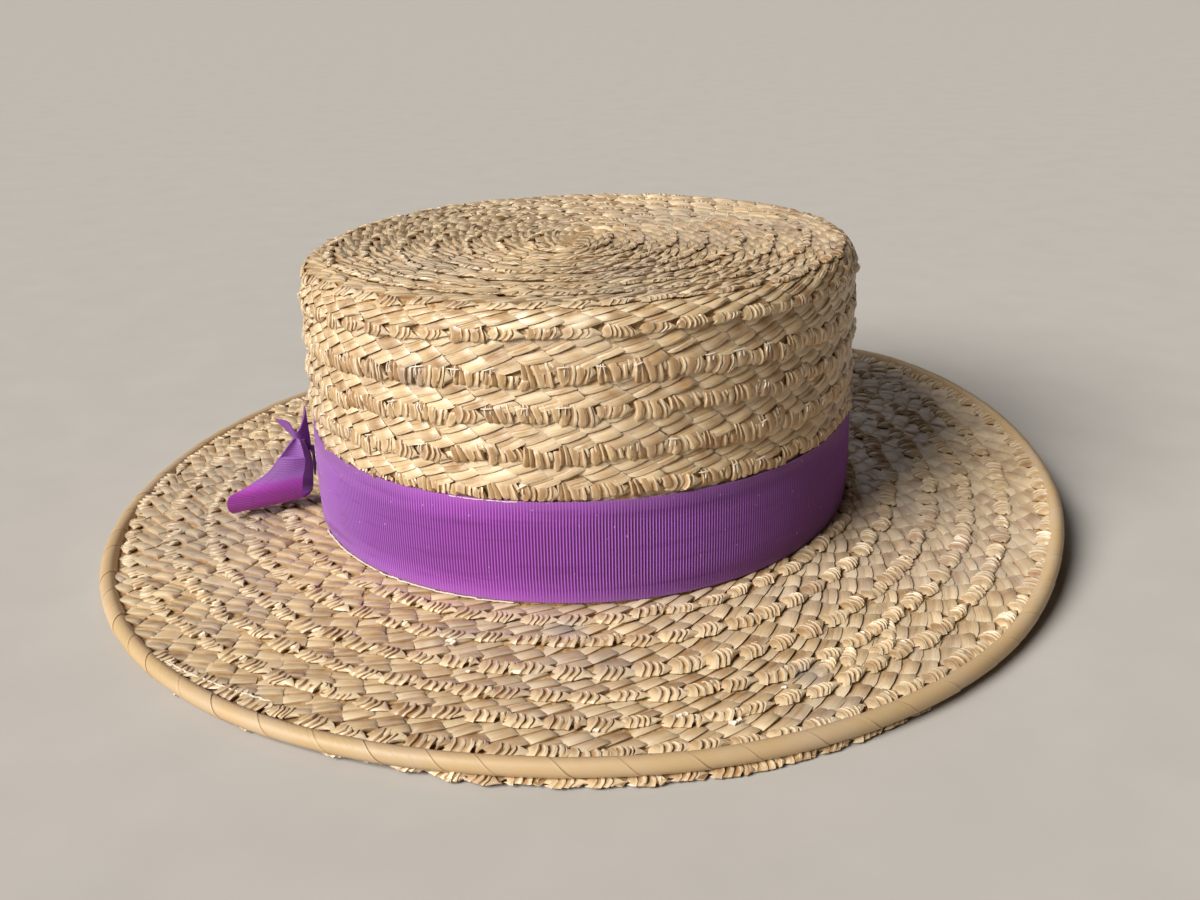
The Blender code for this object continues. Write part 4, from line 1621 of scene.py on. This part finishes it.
# Its pleats, which look out from under the binding only at the front
UNDER_EDGE = (
    # turns clockwise from the front, out
    (0.000, 0.0668),
    (0.880, 0.0668),
    (0.905, 0.0694),
    (1.001, 0.0696),
    (1.010, 0.0668),
    (1.500, 0.0668),
)
UNDER_START, UNDER_END = 0.300, 1.326
UNDER_STRAW_LENGTH = 9.0 * MM
UNDER_LOWEST = 0.1 * MM
# The torn group of folds, in turns from the front
TORN_PLACE = 1.0045


class Ring(Braid):
    """A braid of one turn that meets itself."""

    def pitch(self, turns):
        """The height of the braid, as no row lies before it."""
        return PLAIT_HEIGHT + 0 * turns


def under_surface(angle, out):
    """Bed of the row under the brim's edge."""
    x, y = oval_place(angle, out)
    section = np.array(UNDER_BED)
    height = np.interp(out, section[:, 0], section[:, 1]) + brim_lift(angle, out)
    return np.stack([x, y, height], -1)


class BOATER_OT_under_edge(bpy.types.Operator):
    """Turn the last row of braid under the brim's edge, with its pleats looking out below it."""

    bl_idname = "boater.under_edge"
    bl_label = "Lay Under Edge"

    def execute(self, context):
        straw = context.scene.boater_straw
        rng = np.random.default_rng(UNDER_EDGE_SEED)
        heap = Heap()
        turns, edges = zip(*UNDER_EDGE)
        for side in (1, -1):
            ring = Ring(under_surface, turns, edges, UNDER_START, UNDER_END, 0.0, side)
            length = ring.length - 2 * END_CLEAR
            count = round(length / UNDER_STRAW_LENGTH)
            step = length / count
            starts = END_CLEAR + (0.5 + np.arange(count)) * step
            if side == 1:
                stretch = step / BRIM_KNOT_LENGTH
                lay_knots(heap, ring, starts, stretch, BRIM_KNOTS, UNDER_MIX, under_part, 0, 1, rng)
                torn = model_knot(*TORN_KNOT, rng)
                place = np.array([np.interp(TORN_PLACE, ring.turns, ring.lengths)])
                heap.add(torn, lay(ring, torn, place, -0.08, turn=0.25, tall=1.1, proud=1.5), 0.95)
            else:
                lay_reverse(heap, ring, starts, 0, 1, rng)
        heap.move(lambda points: np.maximum(points, (-np.inf, -np.inf, UNDER_LOWEST)))
        finish = straw_material("under_edge_straw", straw, 0.12)
        heap.finish("under_edge_loops", "under_edge_braid", finish, FOLD_CRISP)
        return {"FINISHED"}


BINDING_HEIGHT = 0.0037
BINDING_RADIUS = 0.0024
BINDING_SIDES = 16
BINDING_LAPS = 66
BINDING_SLANT = -0.0024
# Spread of the place, the thickness and the tint of the laps
LAP_SHIFT, LAP_THICK, LAP_TINT = 0.10, 0.018, 0.14
# Rings of one lap of the binding's strip: share of the lap, swell of its radius, dark of its seam; below
# nought it paints a highlight along the lap's raised edge
LAP_RINGS = (
    (0.000, 0.972, 0.8),
    (0.012, 0.972, 0.4),
    (0.035, 0.980, 0.0),
    (0.150, 0.990, 0.0),
    (0.280, 0.995, 0.0),
    (0.420, 1.000, 0.0),
    (0.560, 1.006, 0.0),
    (0.700, 1.012, 0.0),
    (0.830, 1.020, 0.0),
    (0.930, 1.027, 0.0),
    (0.975, 1.032, -0.15),
    (0.994, 1.022, 0.1),
)


class BOATER_OT_binding(bpy.types.Operator):
    """Wrap the brim's edge in its folded straw strip, with the laps of the strip at a slant."""

    bl_idname = "boater.binding"
    bl_label = "Bind Edge"

    def execute(self, context):
        straw = context.scene.boater_straw
        rng = np.random.default_rng(BINDING_SEED)
        rings = BINDING_LAPS * len(LAP_RINGS)
        strip = stacked_rings("brim_binding_strip", rings, BINDING_SIDES)
        ring, side = ring_and_level(strip, rings)
        bpy.ops.object.mode_set(mode="EDIT")
        select_open_edges()
        bpy.ops.mesh.bridge_edge_loops()
        bpy.ops.object.mode_set(mode="OBJECT")
        circle, lengths = oval_round(BRIM_EDGE_OUT)
        share, swell, seam = np.array(LAP_RINGS).T
        lap, row = np.divmod(ring.astype(int), len(LAP_RINGS))
        seams = np.arange(BINDING_LAPS + 1) + np.append(rng.normal(0, LAP_SHIFT, BINDING_LAPS), 0)
        seams[-1] = BINDING_LAPS + seams[0]
        step = lengths[-1] / BINDING_LAPS
        around = 2 * math.pi * side / BINDING_SIDES - math.pi
        straight = (seams[lap] + (seams[lap + 1] - seams[lap]) * share[row]) * step
        along = straight + BINDING_SLANT * around
        angle = np.interp(along % lengths[-1], lengths, circle)
        radius = BINDING_RADIUS * swell[row] * rng.normal(1.0, LAP_THICK, BINDING_LAPS)[lap]
        x, y = oval_place(angle, BRIM_EDGE_OUT + radius * np.cos(around))
        height = BINDING_HEIGHT + radius * np.sin(around) + brim_lift(angle, BRIM_EDGE_OUT)
        write_points(strip, np.stack([x, y, height], -1))
        grain = np.stack([around * BINDING_RADIUS / MM, straight / MM, 0 * along], -1)
        add_attribute(strip.data, "grain", grain)
        dark = seam[row]
        tint = rng.normal(0.5, LAP_TINT, BINDING_LAPS)[lap]
        add_attribute(strip.data, "look", np.stack([tint, np.maximum(-dark, 0), np.maximum(dark, 0)], -1))
        turn_faces_out()
        bpy.ops.object.shade_smooth_by_angle(angle=BINDING_CRISP)
        finish_piece(strip, "brim_binding", binding_material("binding_straw", straw))
        return {"FINISHED"}


BAND_LEVELS = 9
BAND_THICK = 0.0005
BOW_THICK = 0.0006
# The ribs' swell, the selvedge's share of the width and its wave, and the belly of the whole ribbon
RIB_SWELL = 0.15 * MM
SELVEDGE = 0.02
SELVEDGE_WAVE = 0.12 * MM
BAND_BELLY = 0.25 * MM
# Degrees at the middle of the dusty place at the left, partly dust and partly painted sheen, and of the
# painted light at the front, where the ribbon faces the light, and how far each reaches
BAND_DUST_AND_SHEEN = (207.0, 30.0)
BAND_LIT = (262.0, 26.0)
# Degrees, and how much painted shade darkens the ribbon there, on its right
BAND_SHADE = (0.0, 120.0, 285.0, 330.0, 360.0), (0.5, 0.0, 0.0, 0.5, 0.5)


def finish_ribbon(piece, thickness, node, finish):
    """A sheet gets its thickness, to its inner side, and becomes a piece of ribbon."""
    solid = piece.modifiers.new("thickness", "SOLIDIFY")
    solid.thickness = thickness
    solid.offset = -1.0
    bpy.context.view_layer.objects.active = piece
    bpy.ops.object.modifier_apply(modifier=solid.name)
    bpy.ops.object.shade_smooth_by_angle(angle=RIBBON_CRISP)
    finish_piece(piece, node, finish)


class BOATER_OT_band(bpy.types.Operator):
    """Lay the ribbon round the foot of the crown, with its ribs upright."""

    bl_idname = "boater.band"
    bl_label = "Lay Ribbon"

    def execute(self, context):
        ribbon = context.scene.boater_ribbon
        circle, lengths = oval_round(BAND_OUT)
        ribs = int(lengths[-1] / ribbon.rib)
        columns = ribs * 2
        band = stacked_rings("hat_band_ribbon", columns, BAND_LEVELS)
        column, level = ring_and_level(band, columns)
        share = level / (BAND_LEVELS - 1)
        angle = np.interp(column / columns * lengths[-1], lengths, circle)
        rib = column / 2
        wave = np.cos(2 * math.pi * rib)
        selvedge = np.minimum(share, 1 - share) < SELVEDGE
        swell = np.where(selvedge, 0.3, 1.0) * (RIB_SWELL * wave)
        x, y = oval_place(angle, BAND_OUT + swell + BAND_BELLY * np.sin(math.pi * share))
        height = BAND_BOTTOM + ribbon.width * share
        height += np.where(selvedge, SELVEDGE_WAVE * wave * np.sign(share - 0.5), 0)
        height = height + crown_lean(x, y, height)
        write_points(band, np.stack([x, y, height], -1))
        grain = np.stack([np.minimum(rib, ribs) + 0.25, share * ribbon.width / MM, 0 * share], -1)
        add_attribute(band.data, "grain", grain)
        degrees = np.degrees(angle) % 360
        # dust: dust and painted sheen at the left, and the paler selvedges; bright: painted light at the
        # front; dark: painted shade on the right.
        dust = np.maximum(bell(degrees, *BAND_DUST_AND_SHEEN), np.where(selvedge, 0.7, 0.0))
        bright = 0.55 * bell(degrees, *BAND_LIT)
        add_attribute(band.data, "look", np.stack([dust, bright, np.interp(degrees, *BAND_SHADE)], -1))
        turn_faces_out()
        finish_ribbon(band, BAND_THICK, "hat_band", ribbon_material("ribbon_band", ribbon))
        return {"FINISHED"}


def bow_place(out, forward, up):
    """Points by the bow: out from the band, forward along it, and up."""
    place = BOW_FOOT + out[..., None] * BOW_OUTWARD + forward[..., None] * BOW_FORWARD
    place[..., 2] += up
    return place


def curve_through(rows, shares):
    """A smooth curve through rows of values, read at shares of its length from 0 to 1."""
    rows = np.asarray(rows, float)
    steps = np.linalg.norm(np.diff(rows, axis=0), axis=1)
    knots = summed(steps) / steps.sum()
    slopes = np.gradient(rows, knots, axis=0)
    spot = np.clip(np.searchsorted(knots, shares, side="right") - 1, 0, len(rows) - 2)
    width = (knots[spot + 1] - knots[spot])[:, None]
    t = ((shares - knots[spot]) / width[:, 0])[:, None]
    first = (2 * t**3 - 3 * t**2 + 1) * rows[spot] + (t**3 - 2 * t**2 + t) * width * slopes[spot]
    second = (-2 * t**3 + 3 * t**2) * rows[spot + 1] + (t**3 - t**2) * width * slopes[spot + 1]
    return first + second


# Grain of the bow's ribbon from edge to edge, in millimetres
GRAIN_ACROSS = 20.0


def ribbon_sheet(name, columns, rows, place, length, looks):
    """A grid shaped into ribbon: place turns two shares, along and across, into points."""
    deselect_everything()
    bpy.ops.mesh.primitive_grid_add(x_subdivisions=columns, y_subdivisions=rows, size=1.0)
    sheet = bpy.context.object
    sheet.name = sheet.data.name = name
    along, across = read_points(sheet)[:, :2].T + 0.5
    write_points(sheet, place(along, across))
    add_attribute(sheet.data, "grain", np.stack([along * length, across * GRAIN_ACROSS, 0 * along], -1))
    add_attribute(sheet.data, "look", np.stack(looks(along, across), -1))
    return sheet


class BOATER_OT_bow(bpy.types.Operator):
    """Tie the ribbon's bow: a loop folded under above the brim, and two cut tails behind it."""

    bl_idname = "boater.bow"
    bl_label = "Tie Bow"

    def execute(self, context):
        ribbon = context.scene.boater_ribbon
        finish = ribbon_material("ribbon_bow", ribbon)

        loop_length = 0.052
        ribs = round(loop_length / (ribbon.rib * 0.7))

        def loop_place(along, across):
            inner_out, inner_up, outer_out, outer_up, forward = curve_through(LOOP_ROWS, along).T
            out = inner_out + (outer_out - inner_out) * across
            up = inner_up + (outer_up - inner_up) * across
            out = out + np.where(across < 0.02, 0.12 * MM * np.cos(2 * math.pi * ribs * along), 0)
            belly = 0.0008 * np.sin(math.pi * across) * np.sign(forward)
            return bow_place(out, forward + belly, up)

        def loop_looks(along, _):
            # dust: dust with painted sheen on the upper face; under: the under fold's magenta; dark: painted
            # shade inside the loop, behind its front layer.
            upper = np.interp(along, (0.0, 0.24, 0.32), (1.0, 1.0, 0.0))
            under = np.interp(along, (0.24, 0.32, 0.50, 0.58), (0.0, 1.0, 1.0, 0.0))
            behind = np.interp(along, (0.52, 0.58), (0.0, 0.90))
            return 0.55 * upper, under, np.maximum(behind, 0.10 * upper)

        loop = ribbon_sheet("bow_loop_ribbon", ribs * 3, 12, loop_place, ribs, loop_looks)
        finish_ribbon(loop, BOW_THICK, "bow_loop", finish)

        def tail_place(along, across):
            values = curve_through(TAIL_COLUMNS, across).T
            foot_out, foot_forward, pinch_out, pinch_forward, end_out, end_forward, end_up = values
            outs = np.stack([foot_out, foot_out, pinch_out, end_out])
            forwards = np.stack([foot_forward, foot_forward, pinch_forward, end_forward])
            ups = np.stack([0 * end_up + up for up in TAIL_UPS] + [end_up])
            knots = np.array(TAIL_SHARES)
            spot = np.clip(np.searchsorted(knots, along, side="right") - 1, 0, len(TAIL_UPS) - 1)
            share = (along - knots[spot]) / (knots[spot + 1] - knots[spot])
            column = np.arange(len(along))

            def mixed(table):
                return table[spot, column] * (1 - share) + table[spot + 1, column] * share

            return bow_place(mixed(outs), mixed(forwards), mixed(ups))

        def tail_looks(along, across):
            # Paler, dusty tips; the rest of the tails in painted shade, as they stand behind the loop.
            tip = np.interp(along, (0.62, 1.0), (0.0, 1.0)) * np.interp(across, (0.0, 0.45), (1.0, 0.0))
            return 0.4 + 0.4 * tip, 0 * along, 0.65 * (1 - tip)

        tail_length = 0.024
        tail_ribs = round(tail_length / ribbon.rib)
        tails = ribbon_sheet("bow_tails_ribbon", tail_ribs * 4, 16, tail_place, tail_ribs, tail_looks)
        finish_ribbon(tails, BOW_THICK, "bow_tails", finish)
        return {"FINISHED"}


# Lights: place that each shines from, spread in degrees, share of the window's strength, colour
LIGHTS = {
    "window": ((-1.80, -1.98, 1.95), 33.0, 1.0, (1.0, 0.97, 0.93)),
    "back_window": ((-0.50, 2.40, 2.2), 30.0, 0.05, (0.95, 0.97, 1.0)),
    "bounce": ((1.60, -2.20, 0.70), 60.0, 0.026, (1.0, 0.78, 0.58)),
}
# Light of the room on the hat, and what the camera sees past the floor
ROOM_COLOUR = (1.0, 0.80, 0.60, 1.0)
BACKDROP_COLOUR = (0.60, 0.55, 0.48, 1.0)
FLOOR_SIZE = 120.0
FLOOR_HEIGHT = -0.0002


class BOATER_OT_stage(bpy.types.Operator):
    """Set a pale floor, soft light from the front left and the camera."""

    bl_idname = "boater.stage"
    bl_label = "Set Stage"

    def execute(self, context):
        stage = context.scene.boater_stage
        deselect_everything()
        bpy.ops.mesh.primitive_plane_add(size=FLOOR_SIZE, location=(0, 0, FLOOR_HEIGHT))
        floor = bpy.context.object
        floor.name = floor.data.name = "floor"
        floor.data.materials.append(plain_material("floor_paper", stage.floor, 0.85, 40.0))
        for name, (place, spread, share, colour) in LIGHTS.items():
            add_light(name, place, spread, stage.window * share, colour)
        world = bpy.data.worlds.new("room")
        context.scene.world = world
        world.use_nodes = True
        nodes, links = world.node_tree.nodes, world.node_tree.links
        room = nodes["Background"]
        room.inputs["Color"].default_value = ROOM_COLOUR
        room.inputs["Strength"].default_value = stage.room
        backdrop = nodes.new("ShaderNodeBackground")
        backdrop.inputs["Color"].default_value = BACKDROP_COLOUR
        seen = nodes.new("ShaderNodeMixShader")
        ray = nodes.new("ShaderNodeLightPath")
        sources = (ray.outputs["Is Camera Ray"], room.outputs[0], backdrop.outputs[0])
        for source, socket in zip(sources, seen.inputs):
            links.new(source, socket)
        links.new(seen.outputs[0], nodes["World Output"].inputs[0])
        camera_data = bpy.data.cameras.new("camera")
        camera_data.sensor_width = 36.0
        camera_data.lens = CAMERA_LENS
        camera_data.clip_start = 0.01
        camera = bpy.data.objects.new("camera", camera_data)
        context.scene.collection.objects.link(camera)
        forward = Vector(CAMERA_FORWARD).normalized()
        right = forward.cross(Vector((0, 0, 1))).normalized()
        up = right.cross(forward)
        rolled_right = right * math.cos(CAMERA_ROLL) + up * math.sin(CAMERA_ROLL)
        rolled_up = up * math.cos(CAMERA_ROLL) - right * math.sin(CAMERA_ROLL)
        axes = Matrix((rolled_right, rolled_up, -forward)).transposed()
        camera.matrix_world = Matrix.Translation(CAMERA_PLACE) @ axes.to_4x4()
        context.scene.camera = camera
        context.scene.view_settings.view_transform = "Standard"
        return {"FINISHED"}


def add_light(name, place, spread, strength, colour):
    """A soft light from far off, as wide as its spread in degrees, from the side of a place."""
    light_data = bpy.data.lights.new(name, "SUN")
    light_data.angle = math.radians(spread)
    light_data.energy = strength
    light_data.color = colour
    light = bpy.data.objects.new(name, light_data)
    bpy.context.scene.collection.objects.link(light)
    light.location = place
    towards = Vector((0.0, 0.0, 0.04)) - Vector(place)
    light.rotation_euler = towards.to_track_quat("-Z", "Y").to_euler()


class BOATER_PT_panel(bpy.types.Panel):
    """Sizes, colours and steps of the hat."""

    bl_label = "Straw Boater"
    bl_idname = "BOATER_PT_panel"
    bl_space_type = "VIEW_3D"
    bl_region_type = "UI"
    bl_category = "Boater"

    def draw(self, context):
        for heading, group in (
            ("Straw", context.scene.boater_straw),
            ("Ribbon", context.scene.boater_ribbon),
            ("Stage", context.scene.boater_stage),
        ):
            box = self.layout.box()
            box.label(text=heading)
            for name in group.__annotations__:
                box.prop(group, name)
        for operator in OPERATORS:
            self.layout.operator(operator.bl_idname)


GROUPS = (BoaterStraw, BoaterRibbon, BoaterStage)
OPERATORS = (
    BOATER_OT_stage,
    BOATER_OT_crown,
    BOATER_OT_brim,
    BOATER_OT_under_edge,
    BOATER_OT_binding,
    BOATER_OT_band,
    BOATER_OT_bow,
)


def register():
    for kind in GROUPS + OPERATORS + (BOATER_PT_panel,):
        bpy.utils.register_class(kind)
    bpy.types.Scene.boater_straw = PointerProperty(type=BoaterStraw)
    bpy.types.Scene.boater_ribbon = PointerProperty(type=BoaterRibbon)
    bpy.types.Scene.boater_stage = PointerProperty(type=BoaterStage)


def unregister():
    del bpy.types.Scene.boater_stage
    del bpy.types.Scene.boater_ribbon
    del bpy.types.Scene.boater_straw
    for kind in reversed(GROUPS + OPERATORS + (BOATER_PT_panel,)):
        bpy.utils.unregister_class(kind)


def main():
    register()
    bpy.ops.boater.stage()
    bpy.ops.boater.crown()
    bpy.ops.boater.brim()
    bpy.ops.boater.under_edge()
    bpy.ops.boater.binding()
    bpy.ops.boater.band()
    bpy.ops.boater.bow()


if __name__ == "__main__":
    main()
